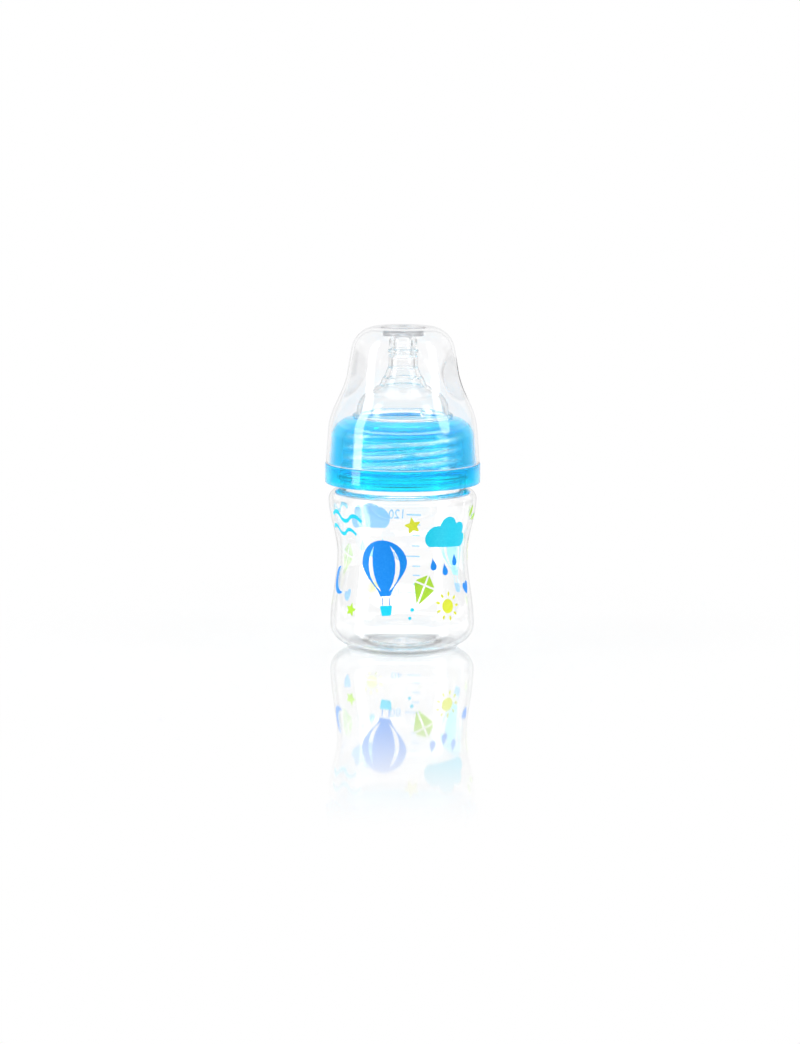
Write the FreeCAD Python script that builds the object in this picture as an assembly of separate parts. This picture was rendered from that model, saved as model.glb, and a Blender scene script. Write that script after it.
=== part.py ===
"""Wide-neck baby bottle: container, silicone teat, screw ring and clear dust cap.

The four pieces stand in one frame, in millimetres, with +Z up and the origin at the middle of the base.
Every piece is turned about Z. Heights are built up from the base, so a piece follows what it stands on.
"""

import FreeCAD
import Part
import math
import os

# Container, measured outside
BELLY_RADIUS = 30.7
BASE_REACH = 13.4              # oval curve from the standing rim out to the belly
BASE_RISE = 9.8
STANDING_WIDTH = 2.4           # flat rim that the bottle stands on
WAIST_RADIUS = 27.7
WAIST_HEIGHT = 40.4
SHOULDER_HEIGHT = 68.0
SHOULDER_ROUND = 4.2
SHOULDER_LEDGE = 0.5           # flat ring between the shoulder's round and the neck
BODY_WALL = 1.4
PUNT_STEP = 1.0                # hollow under the base: a sloped step, then a shallow cone
PUNT_FLARE = 1.6
PUNT_RISE = 2.2

# Neck, with the space that its thread takes
NECK_RADIUS = 26.8
NECK_LENGTH = 23.2
NECK_WALL = 2.2
RIM_ROUND = 0.7
BEAD_WIDTH = 2.0               # transfer bead under the thread, as high as the thread
BEAD_LIFT = 4.6
THREAD_HEIGHT = 1.4
THREAD_CLEARANCE = 0.35

# Screw ring
RING_WALL = 1.9
RING_DRAFT = 4.2               # degrees, shared with the cap's skirt
RING_DOME_ROUND = 9.0
RING_DOME_RISE = 5.6           # from the flange's top to the dome's top
SEAL_RIB_INSET = 0.2           # from the neck's bore to the rib that presses on the flange
SEAL_RIB_WIDTH = 1.4
RING_LIP_WIDTH = 4.0           # from the rib in to the opening
RING_LIP_ROUND = 0.7
BAND_GAP = 2.5                 # between the container's shoulder and the band
BAND_HEIGHT = 8.4
BAND_WALL = 1.9
BAND_ROUND = 0.8
LEDGE_LIP = 0.3                # how far the band stands out past the cap

# Teat
FLANGE_MARGIN = 0.5            # how far the flange stays inside the neck's outside
FLANGE_THICKNESS = 1.6
TEAT_WALL = 1.5
TEAT_CLEARANCE = 0.3           # to the ring that it is pulled through
BEAD_OVERHANG = 0.5            # of the bead that keeps the teat in the ring
BELL_BEAD_WIDTH = 1.3
BELL_INSET = 1.1               # from the ring's opening to the bell's foot
BELL_DRAW = 1.0                # how much narrower the bell's shoulder is than its foot
BELL_ROUND = 8.0
BELL_SHOULDER_HEIGHT = 8.2     # from the ring's top
BELL_HEIGHT = 13.8             # from the ring's top to the end of the slope over the shoulder
BELL_WALL_DROP = 0.8           # of the hollow below the slope, which keeps the wall even
NECK_STEPS = (                 # foot radius, top radius and height of each tapered step
    (9.8, 8.5, 3.3),
    (8.0, 6.5, 4.0),
    (6.2, 6.1, 5.5),
)
NECK_STEP_ROUND = 0.6
NECK_GROOVE_RADIUS = 5.4
NECK_GROOVE_WIDTH = 0.8
NECK_BEAD_RADIUS = 6.4
NECK_BEAD_WIDTH = 1.6
NIPPLE_WAIST_RADIUS = 5.0
NIPPLE_WAIST_LENGTH = 1.0
NIPPLE_RADIUS = 5.9
NIPPLE_LENGTH = 6.6
FEED_HOLE_RADIUS = 0.4
VENT_RADIUS = 1.3              # round boss of the air vent
VENT_REACH = 0.35
VENT_HOLE_RADIUS = 0.35
VENT_LIFT = 1.6                # above the bell's bead
VENT_AZIMUTH = -65.0           # degrees from +X

# Dust cap
CAP_WALL = 1.2
CAP_CLEARANCE = 0.3            # to the ring's wall
CAP_SHOULDER_ROUND = 25.0
CAP_WAIST_GAP = 4.7            # between the teat's bell and the cap's outside
CAP_WAIST_LIFT = 1.0           # above the end of the teat's bell
CAP_WAIST_ROUND = 30.0
CAP_TOP_DRAW = 4.15            # how much narrower the top is than the waist
CAP_TOP_ROUND = 10.9
TIP_CLEARANCE = 0.8            # between the teat's tip and the cap's ceiling
TIP_COLLAR_CLEARANCE = 1.5     # round the nipple
TIP_COLLAR_WALL = 1.2
TIP_COLLAR_DEPTH = 1.8
SCOOP_RADIUS = 18.5            # two thumb scoops, pressed into the bell
SCOOP_DEPTH = 2.9
SCOOP_LIFT = 6.9               # above the cap's waist
SCOOP_AZIMUTHS = (-22.0, 158.0)
GATE_RADIUS = 1.6              # shallow well round the moulding gate
GATE_DEPTH = 0.3

# Radii that several pieces share
CONTACT_RADIUS = BELLY_RADIUS - BASE_REACH
SHOULDER_RADIUS = NECK_RADIUS + SHOULDER_LEDGE + SHOULDER_ROUND
NECK_BORE = NECK_RADIUS - NECK_WALL
SEAL_RIB_RADIUS = NECK_BORE + SEAL_RIB_INSET
RING_OPENING_RADIUS = SEAL_RIB_RADIUS - RING_LIP_WIDTH
RING_BORE = NECK_RADIUS + THREAD_HEIGHT + THREAD_CLEARANCE
RING_TOP_RADIUS = RING_BORE + RING_WALL
BELL_RADIUS = RING_OPENING_RADIUS - BELL_INSET

# Heights, from the base up
RIM_Z = SHOULDER_HEIGHT + NECK_LENGTH
FLANGE_TOP_Z = RIM_Z + FLANGE_THICKNESS
RING_TOP_Z = FLANGE_TOP_Z + RING_DOME_RISE
BAND_BOTTOM_Z = SHOULDER_HEIGHT + BAND_GAP
LEDGE_Z = BAND_BOTTOM_Z + BAND_HEIGHT
BELL_FOOT_Z = RING_TOP_Z + TEAT_CLEARANCE
BELL_SHOULDER_Z = RING_TOP_Z + BELL_SHOULDER_HEIGHT
BELL_TOP_Z = RING_TOP_Z + BELL_HEIGHT
NECK_TOP_Z = BELL_TOP_Z + sum(rise for _, _, rise in NECK_STEPS)
NECK_BEAD_Z = NECK_TOP_Z + NECK_GROOVE_WIDTH
NIPPLE_WAIST_Z = NECK_BEAD_Z + NECK_BEAD_WIDTH
NIPPLE_Z = NIPPLE_WAIST_Z + NIPPLE_WAIST_LENGTH
TIP_Z = NIPPLE_Z + NIPPLE_LENGTH
CAP_WAIST_Z = BELL_TOP_Z + CAP_WAIST_LIFT
CAP_TOP_Z = TIP_Z + TIP_CLEARANCE + CAP_WALL

# The ring's wall and the cap's skirt taper alike
RING_TAPER = math.tan(math.radians(RING_DRAFT))
RING_LEDGE_RADIUS = RING_TOP_RADIUS + (RING_TOP_Z - RING_DOME_ROUND - LEDGE_Z) * RING_TAPER
CAP_RIM_RADIUS = RING_LEDGE_RADIUS + CAP_CLEARANCE + CAP_WALL
CAP_WAIST_RADIUS = BELL_RADIUS + CAP_WAIST_GAP
BAND_RADIUS = CAP_RIM_RADIUS + LEDGE_LIP

UP = FreeCAD.Vector(0, 0, 1)
ORIGIN = FreeCAD.Vector(0, 0, 0)
RUN_SHARE = 0.98               # most of a straight run that the roundings at its two ends may use
OVAL_PULL = 0.5523             # of each half axis, for a curve that follows a quarter of an oval


def at(radius, height):
    """The point of a half section at that radius and height."""
    return FreeCAD.Vector(radius, 0, height)


def line(start, end):
    """A straight edge."""
    return Part.LineSegment(start, end).toShape()


def arc(centre, radius, first, last):
    """A round edge about a centre, between two angles in degrees, measured from +X towards +Z."""
    def on(angle):
        turn = math.radians(angle)
        return centre + FreeCAD.Vector(radius * math.cos(turn), 0, radius * math.sin(turn))

    return Part.Arc(on(first), on((first + last) / 2), on(last)).toShape()


def sway(start, end):
    """A soft S-shaped edge that leaves and arrives upright."""
    pull = FreeCAD.Vector(0, 0, (end.z - start.z) / 3)
    curve = Part.BezierCurve()
    curve.setPoles([start, start + pull, end - pull, end])
    return curve.toShape()


def swell(start, end):
    """A quarter-oval edge that leaves level and arrives upright."""
    reach = FreeCAD.Vector((end.x - start.x) * OVAL_PULL, 0, 0)
    rise = FreeCAD.Vector(0, 0, (end.z - start.z) * OVAL_PULL)
    curve = Part.BezierCurve()
    curve.setPoles([start, start + reach, end - rise, end])
    return curve.toShape()


def rounded(corners, closed=True):
    """Edges through (radius, height, rounding) corners: straight runs joined by tangent arcs.

    Two roundings that meet on a run too short for both are made smaller alike.
    """
    count = len(corners)
    points = [at(radius, height) for radius, height, _ in corners]
    runs = [(points[i - 1] - points[i], points[(i + 1) % count] - points[i]) for i in range(count)]
    inner_angles = [back.getAngle(ahead) for back, ahead in runs]
    wanted = []
    for i, (_, _, rounding) in enumerate(corners):
        sharp = rounding <= 0 or math.pi - inner_angles[i] < 1e-6 or (not closed and i in (0, count - 1))
        wanted.append(0.0 if sharp else rounding / math.tan(inner_angles[i] / 2))
    reaches = list(wanted)
    for i in range(count if closed else count - 1):
        ends = (i, (i + 1) % count)
        room = RUN_SHARE * runs[i][1].Length
        total = sum(wanted[end] for end in ends)
        for end in ends:
            if total > room:
                reaches[end] = min(reaches[end], wanted[end] * room / total)
    entries, exits, middles = [], [], []
    for here, (back, ahead), inner_angle, reach in zip(points, runs, inner_angles, reaches):
        if reach == 0:
            entries.append(here)
            exits.append(here)
            middles.append(None)
            continue
        radius = reach * math.tan(inner_angle / 2)
        back.normalize()
        ahead.normalize()
        inward = back + ahead
        inward.normalize()
        entries.append(here + back * reach)
        exits.append(here + ahead * reach)
        middles.append(here + inward * (radius / math.sin(inner_angle / 2) - radius))
    edges = []
    for i in range(count):
        if middles[i] is not None:
            edges.append(Part.Arc(entries[i], middles[i], exits[i]).toShape())
        if closed or i < count - 1:
            edges.append(line(exits[i], entries[(i + 1) % count]))
    return edges


def inset(corners, distance):
    """The same open run of corners, moved sideways by a distance to the left of its direction.

    The two ends stay at their own height, or on the axis. Roundings grow or shrink, so arcs stay concentric.
    """
    moved = []
    for (r0, z0, _), (r1, z1, _) in zip(corners, corners[1:]):
        length = math.hypot(r1 - r0, z1 - z0)
        side_r, side_z = -(z1 - z0) / length * distance, (r1 - r0) / length * distance
        moved.append(((r0 + side_r, z0 + side_z), (r1 - r0, z1 - z0)))
    result = []
    for i, (radius, height, rounding) in enumerate(corners):
        if i == 0:
            (r0, z0), (dr, dz) = moved[0]
            result.append((r0 + (height - z0) * dr / dz, height, 0.0))
        elif i == len(corners) - 1:
            (r0, z0), (dr, dz) = moved[-1]
            result.append((radius, z0 + (radius - r0) * dz / dr, 0.0))
        else:
            (ra, za), (dra, dza) = moved[i - 1]
            (rb, zb), (drb, dzb) = moved[i]
            cross = dra * dzb - dza * drb
            along = ((rb - ra) * dzb - (zb - za) * drb) / cross
            new_rounding = rounding - distance if cross > 0 else rounding + distance
            result.append((ra + along * dra, za + along * dza, max(new_rounding, 0.0)))
    return result


def turned(edges):
    """The solid that a closed half section sweeps in one turn about Z."""
    face = Part.Face(Part.Wire(edges))
    solid = face.revolve(ORIGIN, UP, 360)
    return Part.Solid(Part.Shell(solid.Faces))


def tube(inner, outer, bottom, top):
    """A plain round sleeve."""
    blank = Part.makeCylinder(outer, top - bottom, at(0, bottom), UP)
    return blank.cut(Part.makeCylinder(inner, top - bottom, at(0, bottom), UP))


def container():
    """The waisted container: one wall all round, a stepped hollow under the base and a wide neck."""
    wall = BODY_WALL
    side_top = SHOULDER_HEIGHT - SHOULDER_ROUND
    shoulder_centre = at(SHOULDER_RADIUS - SHOULDER_ROUND, side_top)
    bead_bottom = SHOULDER_HEIGHT + BEAD_LIFT
    bead_radius = NECK_RADIUS + THREAD_HEIGHT
    punt_radius = CONTACT_RADIUS - STANDING_WIDTH
    punt_top = punt_radius - PUNT_FLARE
    neck = rounded([
        (SHOULDER_RADIUS - SHOULDER_ROUND, SHOULDER_HEIGHT, 0),
        (NECK_RADIUS, SHOULDER_HEIGHT, 0),
        (NECK_RADIUS, bead_bottom, 0),
        (bead_radius, bead_bottom, BEAD_WIDTH / 2),
        (bead_radius, bead_bottom + BEAD_WIDTH, BEAD_WIDTH / 2),
        (NECK_RADIUS, bead_bottom + BEAD_WIDTH, 0),
        (NECK_RADIUS, RIM_Z, RIM_ROUND),
        (NECK_BORE, RIM_Z, RIM_ROUND),
        (NECK_BORE, SHOULDER_HEIGHT - wall, 0),
        (SHOULDER_RADIUS - SHOULDER_ROUND, SHOULDER_HEIGHT - wall, 0),
    ], closed=False)
    floor = rounded([
        (CONTACT_RADIUS, wall, 0),
        (punt_radius, wall, PUNT_STEP),
        (punt_top, PUNT_STEP + wall, PUNT_STEP),
        (0, PUNT_RISE + wall, 0),
        (0, PUNT_RISE, 0),
        (punt_top, PUNT_STEP, PUNT_STEP),
        (punt_radius, 0, PUNT_STEP / 2),
        (CONTACT_RADIUS, 0, 0),
    ], closed=False)
    outside = [
        swell(at(CONTACT_RADIUS, 0), at(BELLY_RADIUS, BASE_RISE)),
        sway(at(BELLY_RADIUS, BASE_RISE), at(WAIST_RADIUS, WAIST_HEIGHT)),
        sway(at(WAIST_RADIUS, WAIST_HEIGHT), at(SHOULDER_RADIUS, side_top)),
        arc(shoulder_centre, SHOULDER_ROUND, 0, 90),
    ]
    inside = [
        arc(shoulder_centre, SHOULDER_ROUND - wall, 90, 0),
        sway(at(SHOULDER_RADIUS - wall, side_top), at(WAIST_RADIUS - wall, WAIST_HEIGHT)),
        sway(at(WAIST_RADIUS - wall, WAIST_HEIGHT), at(BELLY_RADIUS - wall, BASE_RISE)),
        swell(at(CONTACT_RADIUS, wall), at(BELLY_RADIUS - wall, BASE_RISE)),
    ]
    return turned(outside + neck + inside + floor)


def ring_dome(top, radius, rounding, taper_from):
    """Corners of the ring's domed wall from the ledge up, then in to the axis."""
    return [
        (radius + (top - rounding - taper_from) * RING_TAPER, taper_from, 0),
        (radius - rounding * RING_TAPER, top, rounding),
        (0, top, 0),
    ]


def screw_ring():
    """The ring: a tapered, domed wall over the thread, a wider band with the cap's ledge, a sealing rib."""
    band_bore = BAND_RADIUS - BAND_WALL
    band_ceiling = LEDGE_Z - RING_WALL
    dome = ring_dome(RING_TOP_Z, RING_TOP_RADIUS, RING_DOME_ROUND, LEDGE_Z)
    outer = turned(rounded([
        (0, BAND_BOTTOM_Z, 0),
        (BAND_RADIUS, BAND_BOTTOM_Z, BAND_ROUND),
        (BAND_RADIUS, LEDGE_Z, LEDGE_LIP / 2),
    ] + dome))
    bore = turned(rounded([
        (0, BAND_BOTTOM_Z - BAND_GAP, 0),
        (band_bore, BAND_BOTTOM_Z - BAND_GAP, 0),
        (band_bore, band_ceiling, BAND_ROUND),
        (RING_BORE, band_ceiling, BAND_ROUND),
        (RING_BORE, RING_TOP_Z - RING_WALL, RING_DOME_ROUND - RING_WALL),
        (0, RING_TOP_Z - RING_WALL, 0),
    ]))
    rib = tube(SEAL_RIB_RADIUS, SEAL_RIB_RADIUS + SEAL_RIB_WIDTH, FLANGE_TOP_Z, RING_TOP_Z).common(outer)
    opening_flare = RING_OPENING_RADIUS + RING_LIP_ROUND
    opening = turned(rounded([
        (0, FLANGE_TOP_Z, 0),
        (RING_OPENING_RADIUS, FLANGE_TOP_Z, 0),
        (RING_OPENING_RADIUS, RING_TOP_Z, RING_LIP_ROUND),
        (opening_flare, RING_TOP_Z, 0),
        (opening_flare, RING_TOP_Z + RING_WALL, 0),
        (0, RING_TOP_Z + RING_WALL, 0),
    ]))
    return outer.cut(bore).fuse(rib).cut(opening).removeSplitter()


def neck_steps(height, depth):
    """Corners of the teat's tapered steps from a height up, at some depth inside their outer face."""
    corners = []
    for foot, top, rise in NECK_STEPS:
        corners.append((foot - depth, height, NECK_STEP_ROUND))
        height += rise
        corners.append((top - depth, height, NECK_STEP_ROUND))
    return corners


def teat_outside():
    """Corners of the teat's outside above its flange: collar, groove for the ring, bell, steps and nipple."""
    collar_radius = SEAL_RIB_RADIUS - TEAT_CLEARANCE
    groove_radius = RING_OPENING_RADIUS - TEAT_CLEARANCE
    groove_bottom = RING_TOP_Z - RING_WALL - TEAT_CLEARANCE
    bead_radius = RING_OPENING_RADIUS + BEAD_OVERHANG
    bead_top = BELL_FOOT_Z + BELL_BEAD_WIDTH
    corners = [
        (collar_radius, FLANGE_TOP_Z, 0),
        (collar_radius, (FLANGE_TOP_Z + groove_bottom) / 2, TEAT_WALL),
        (groove_radius + BEAD_OVERHANG, groove_bottom, BEAD_OVERHANG / 2),
        (groove_radius, groove_bottom, 0),
        (groove_radius, BELL_FOOT_Z, 0),
        (bead_radius, BELL_FOOT_Z, BELL_BEAD_WIDTH / 3),
        (bead_radius, bead_top, BELL_BEAD_WIDTH / 2),
        (BELL_RADIUS, bead_top, BELL_BEAD_WIDTH / 3),
        (BELL_RADIUS - BELL_DRAW, BELL_SHOULDER_Z, BELL_ROUND),
    ]
    corners += neck_steps(BELL_TOP_Z, 0)
    corners += [
        (NECK_GROOVE_RADIUS, NECK_TOP_Z, NECK_STEP_ROUND),
        (NECK_GROOVE_RADIUS, NECK_BEAD_Z, NECK_STEP_ROUND),
        (NECK_BEAD_RADIUS, NECK_BEAD_Z, NECK_STEP_ROUND),
        (NECK_BEAD_RADIUS, NIPPLE_WAIST_Z, NECK_STEP_ROUND),
        (NIPPLE_WAIST_RADIUS, NIPPLE_WAIST_Z, NECK_STEP_ROUND),
        (NIPPLE_WAIST_RADIUS, NIPPLE_Z, NECK_STEP_ROUND),
        (NIPPLE_RADIUS, NIPPLE_Z, NIPPLE_LENGTH / 3),
        (NIPPLE_RADIUS, TIP_Z, NIPPLE_RADIUS),
        (0, TIP_Z, 0),
    ]
    return corners


def teat_bore():
    """Corners of the teat's hollow, one wall inside the bell, the steps and the nipple."""
    groove_bore = RING_OPENING_RADIUS - TEAT_CLEARANCE - TEAT_WALL
    bell_bore = BELL_RADIUS - TEAT_WALL
    corners = [
        (0, RIM_Z - FLANGE_THICKNESS, 0),
        (groove_bore, RIM_Z - FLANGE_THICKNESS, 0),
        (groove_bore, RING_TOP_Z, TEAT_WALL),
        (bell_bore, RING_TOP_Z + BELL_BEAD_WIDTH, TEAT_WALL),
        (bell_bore - BELL_DRAW, BELL_SHOULDER_Z - BELL_WALL_DROP, BELL_ROUND - TEAT_WALL),
    ]
    corners += neck_steps(BELL_TOP_Z - BELL_WALL_DROP, TEAT_WALL)
    nipple_bore = NIPPLE_WAIST_RADIUS - TEAT_WALL
    corners += [
        (nipple_bore, NECK_TOP_Z - BELL_WALL_DROP, NECK_STEP_ROUND),
        (nipple_bore, TIP_Z - TEAT_WALL, nipple_bore),
        (0, TIP_Z - TEAT_WALL, 0),
    ]
    return corners


def vent(reach, radius, length):
    """A small round post that points out of the bell's foot, at the vent's place."""
    turn = math.radians(VENT_AZIMUTH)
    outward = FreeCAD.Vector(math.cos(turn), math.sin(turn), 0)
    height = BELL_FOOT_Z + BELL_BEAD_WIDTH + VENT_LIFT
    return Part.makeCylinder(radius, length, outward * (reach - length) + UP * height, outward)


def teat():
    """The silicone teat: flange on the container's rim, snap groove, bell, stepped neck, nipple and vent."""
    flange_radius = NECK_RADIUS - FLANGE_MARGIN
    body = turned(rounded([
        (0, RIM_Z, 0),
        (flange_radius, RIM_Z, FLANGE_THICKNESS / 3),
        (flange_radius, FLANGE_TOP_Z, FLANGE_THICKNESS / 3),
    ] + teat_outside()))
    vent_boss = vent(BELL_RADIUS + VENT_REACH, VENT_RADIUS, VENT_REACH + TEAT_WALL / 2)
    vent_hole = vent(BELL_RADIUS + 2 * VENT_REACH, VENT_HOLE_RADIUS, 2 * VENT_REACH + 2 * TEAT_WALL)
    feed_hole = Part.makeCylinder(FEED_HOLE_RADIUS, 3 * TEAT_WALL, at(0, TIP_Z - 2 * TEAT_WALL), UP)
    hollow = turned(rounded(teat_bore()))
    return body.fuse(vent_boss).cut(hollow).cut(vent_hole).cut(feed_hole).removeSplitter()


def cap_form(depth):
    """The bell of the cap, with its two thumb scoops, as a full form at some depth inside its outer face."""
    outline = [
        (CAP_RIM_RADIUS, LEDGE_Z, 0),
        (CAP_RIM_RADIUS - (RING_TOP_Z - LEDGE_Z) * RING_TAPER, RING_TOP_Z, CAP_SHOULDER_ROUND),
        (CAP_WAIST_RADIUS, CAP_WAIST_Z, CAP_WAIST_ROUND),
        (CAP_WAIST_RADIUS - CAP_TOP_DRAW, CAP_TOP_Z, CAP_TOP_ROUND),
        (0, CAP_TOP_Z, 0),
    ]
    form = turned(rounded([(0, LEDGE_Z, 0)] + (inset(outline, depth) if depth else outline)))
    scoop_centre_z = CAP_WAIST_Z + SCOOP_LIFT
    scoop_centre_radius = CAP_WAIST_RADIUS - SCOOP_DEPTH + SCOOP_RADIUS
    for azimuth in SCOOP_AZIMUTHS:
        turn = math.radians(azimuth)
        outward = FreeCAD.Vector(math.cos(turn), math.sin(turn), 0)
        sideways = UP.cross(outward)
        start = outward * scoop_centre_radius + UP * scoop_centre_z - sideways * CAP_RIM_RADIUS
        form = form.cut(Part.makeCylinder(SCOOP_RADIUS + depth, 2 * CAP_RIM_RADIUS, start, sideways))
    return form


def dust_cap():
    """The clear cap: a bell of one wall, a collar that shields the nipple and a well round the gate."""
    ceiling = CAP_TOP_Z - CAP_WALL
    collar_bore = NIPPLE_RADIUS + TIP_COLLAR_CLEARANCE
    collar_top = CAP_TOP_Z - CAP_WALL / 2
    collar = tube(collar_bore, collar_bore + TIP_COLLAR_WALL, ceiling - TIP_COLLAR_DEPTH, collar_top)
    gate_well = Part.makeCylinder(GATE_RADIUS, GATE_DEPTH, at(0, CAP_TOP_Z - GATE_DEPTH), UP)
    shell = cap_form(0).cut(cap_form(CAP_WALL))
    return shell.fuse(collar).cut(gate_well).removeSplitter()


PIECES = {
    "bottle_body": container,
    "teat": teat,
    "screw_ring": screw_ring,
    "dust_cap": dust_cap,
}


def main():
    """Write each piece to its own file."""
    os.makedirs("parts", exist_ok=True)
    for name, build in PIECES.items():
        shape = build()
        if not shape.isValid():
            raise RuntimeError(f"{name} is not a valid solid")
        shape.exportStep(f"parts/{name}.step")
        box = shape.BoundBox
        print(f"{name}: {shape.Volume / 1000:.2f} ml, z {box.ZMin:.2f} to {box.ZMax:.2f}")


main()
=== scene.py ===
"""Looks of a wide-neck baby bottle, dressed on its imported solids.

A clear waisted container with a printed sky pattern and a scale, a clear stepped teat, a transparent blue
screw ring and a clear dust cap. Sizes in the classes are millimetres, in the frame of the solids, with +Z up
and the viewer at -Y. A mesh is brought to metres when it becomes a piece.
"""

import logging
import math
from collections.abc import Iterable
from dataclasses import dataclass
from enum import Enum

import bmesh
import bpy
from mathutils import Matrix, Quaternion, Vector
from mathutils.bvhtree import BVHTree
from mathutils.geometry import interpolate_bezier


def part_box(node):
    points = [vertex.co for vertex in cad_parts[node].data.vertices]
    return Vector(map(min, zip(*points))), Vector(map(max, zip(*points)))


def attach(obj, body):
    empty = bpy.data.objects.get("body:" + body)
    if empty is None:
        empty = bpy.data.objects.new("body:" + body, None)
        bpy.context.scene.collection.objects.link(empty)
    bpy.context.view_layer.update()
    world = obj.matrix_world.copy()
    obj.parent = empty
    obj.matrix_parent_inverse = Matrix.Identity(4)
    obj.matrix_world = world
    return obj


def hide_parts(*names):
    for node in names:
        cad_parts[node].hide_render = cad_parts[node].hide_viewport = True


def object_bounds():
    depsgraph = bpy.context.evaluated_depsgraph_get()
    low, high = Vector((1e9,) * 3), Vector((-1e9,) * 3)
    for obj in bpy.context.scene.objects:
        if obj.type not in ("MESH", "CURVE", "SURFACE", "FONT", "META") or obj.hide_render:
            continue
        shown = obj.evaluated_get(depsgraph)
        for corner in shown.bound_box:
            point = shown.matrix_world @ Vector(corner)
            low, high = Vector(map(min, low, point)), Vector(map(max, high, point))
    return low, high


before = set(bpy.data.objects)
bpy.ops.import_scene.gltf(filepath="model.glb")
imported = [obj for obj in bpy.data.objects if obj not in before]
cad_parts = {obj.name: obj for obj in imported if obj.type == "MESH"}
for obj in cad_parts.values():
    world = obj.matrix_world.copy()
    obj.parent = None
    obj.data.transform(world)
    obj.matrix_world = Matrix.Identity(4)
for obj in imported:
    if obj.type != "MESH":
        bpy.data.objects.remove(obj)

LOG = logging.getLogger("baby_bottle")
CAD_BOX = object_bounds()

MM = 0.001
SEAT_GAP = 0.04                # left between clear pieces that rest on each other, so their skins stay apart
RUN_SHARE = 0.98               # most of a straight run that the roundings at its two ends may use
ARC_STEP = 0.45                # length of the short runs that make a rounded corner
ARC_LEAST, ARC_MOST = 3, 14    # how many of them there may be
BOW_STEP = math.radians(12)    # turn of the short runs that make a bow
BOW_LEAST = 4                  # how many of them there are at least
QUARTER_RISE = 1 - math.sqrt(0.5)    # of a quarter arc over its chord, as a share of its radius
OVAL_PULL = 0.5523             # of each half axis, for a curve that follows a quarter of an oval
SHARP_EDGE = math.radians(40)
WELD = 1e-4                    # points nearer than this become one
ON_WALL = 1e-3                 # points nearer than this to a wall lie on it
EDGE_ROUND = 0.3               # of the small edges of a moulding
FOOT_ROUND = 0.4               # of the edges that meet another piece or a hand
LONG_RUN = 1.6                 # longest run in a section of a stiff piece
THREAD_RUN = 0.3               # the same where a thread is raised
CUBIC_MM_PER_ML = 1000.0
UP = (0.0, 0.0, 1.0)


class Body(Enum):
    """The moving bodies of the bottle."""

    CONTAINER = "container"
    TEAT = "teat"
    RING = "ring"
    CAP = "cap"


class Slot(Enum):
    """The record's material slots."""

    CONTAINER = "clear_container"
    SILICONE = "silicone"
    RING = "blue_ring"
    CAP = "clear_cap"


def linear(colour: str) -> tuple[float, float, float, float]:
    """Turns an sRGB hex colour into linear light.

    Args:
        colour: Six hex digits after a hash.

    Returns:
        Red, green, blue and a full alpha.
    """
    shares = [int(colour[i:i + 2], 16) / 255 for i in (1, 3, 5)]
    light = [s / 12.92 if s <= 0.04045 else ((s + 0.055) / 1.055) ** 2.4 for s in shares]
    return light[0], light[1], light[2], 1.0


def add_node(tree: bpy.types.NodeTree, kind: str, inputs: dict[str | int, object] | None = None,
             **settings: object) -> bpy.types.Node:
    """Adds a node, and sets or links its inputs.

    Args:
        tree: The node tree that takes it.
        kind: The node's type name.
        inputs: A value, or the output socket to link, for each input named or numbered.
        **settings: Properties of the node.

    Returns:
        The new node.
    """
    node = tree.nodes.new(kind)
    for name, value in settings.items():
        setattr(node, name, value)
    for name, value in (inputs or {}).items():
        if isinstance(value, bpy.types.NodeSocket):
            tree.links.new(value, node.inputs[name])
        else:
            node.inputs[name].default_value = value
    return node


def bare_material(name: str) -> bpy.types.Material:
    """Makes a material with an empty node tree.

    Args:
        name: The material's name.

    Returns:
        The material.
    """
    material = bpy.data.materials.new(name)
    material.use_nodes = True
    material.node_tree.nodes.clear()
    return material


def noise_scale(size_mm: float) -> float:
    """The scale of a noise whose patches have that size."""
    return 1 / (size_mm * MM)


def share_within(tree: bpy.types.NodeTree, bands: Iterable[tuple[bpy.types.NodeSocket, float, float]]
                 ) -> bpy.types.NodeSocket:
    """Adds nodes that find how far every value is within its band.

    Args:
        tree: The node tree that takes them.
        bands: Each value, where its share starts to rise from 0, and where it is 1.

    Returns:
        The product of the shares.
    """
    product = None
    for value, empty, full in bands:
        share = add_node(tree, "ShaderNodeMapRange", {"Value": value, "From Min": empty, "From Max": full},
                         interpolation_type="SMOOTHSTEP").outputs["Result"]
        product = share if product is None else add_node(
            tree, "ShaderNodeMath", {0: product, 1: share}, operation="MULTIPLY").outputs["Value"]
    return product


@dataclass(frozen=True)
class Look:
    """How a part of a clear moulding looks that differs from the rest."""

    colour: str                    # of what it lets through
    roughness: float
    cloud: float = 0.0             # share of the light that it scatters


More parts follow.
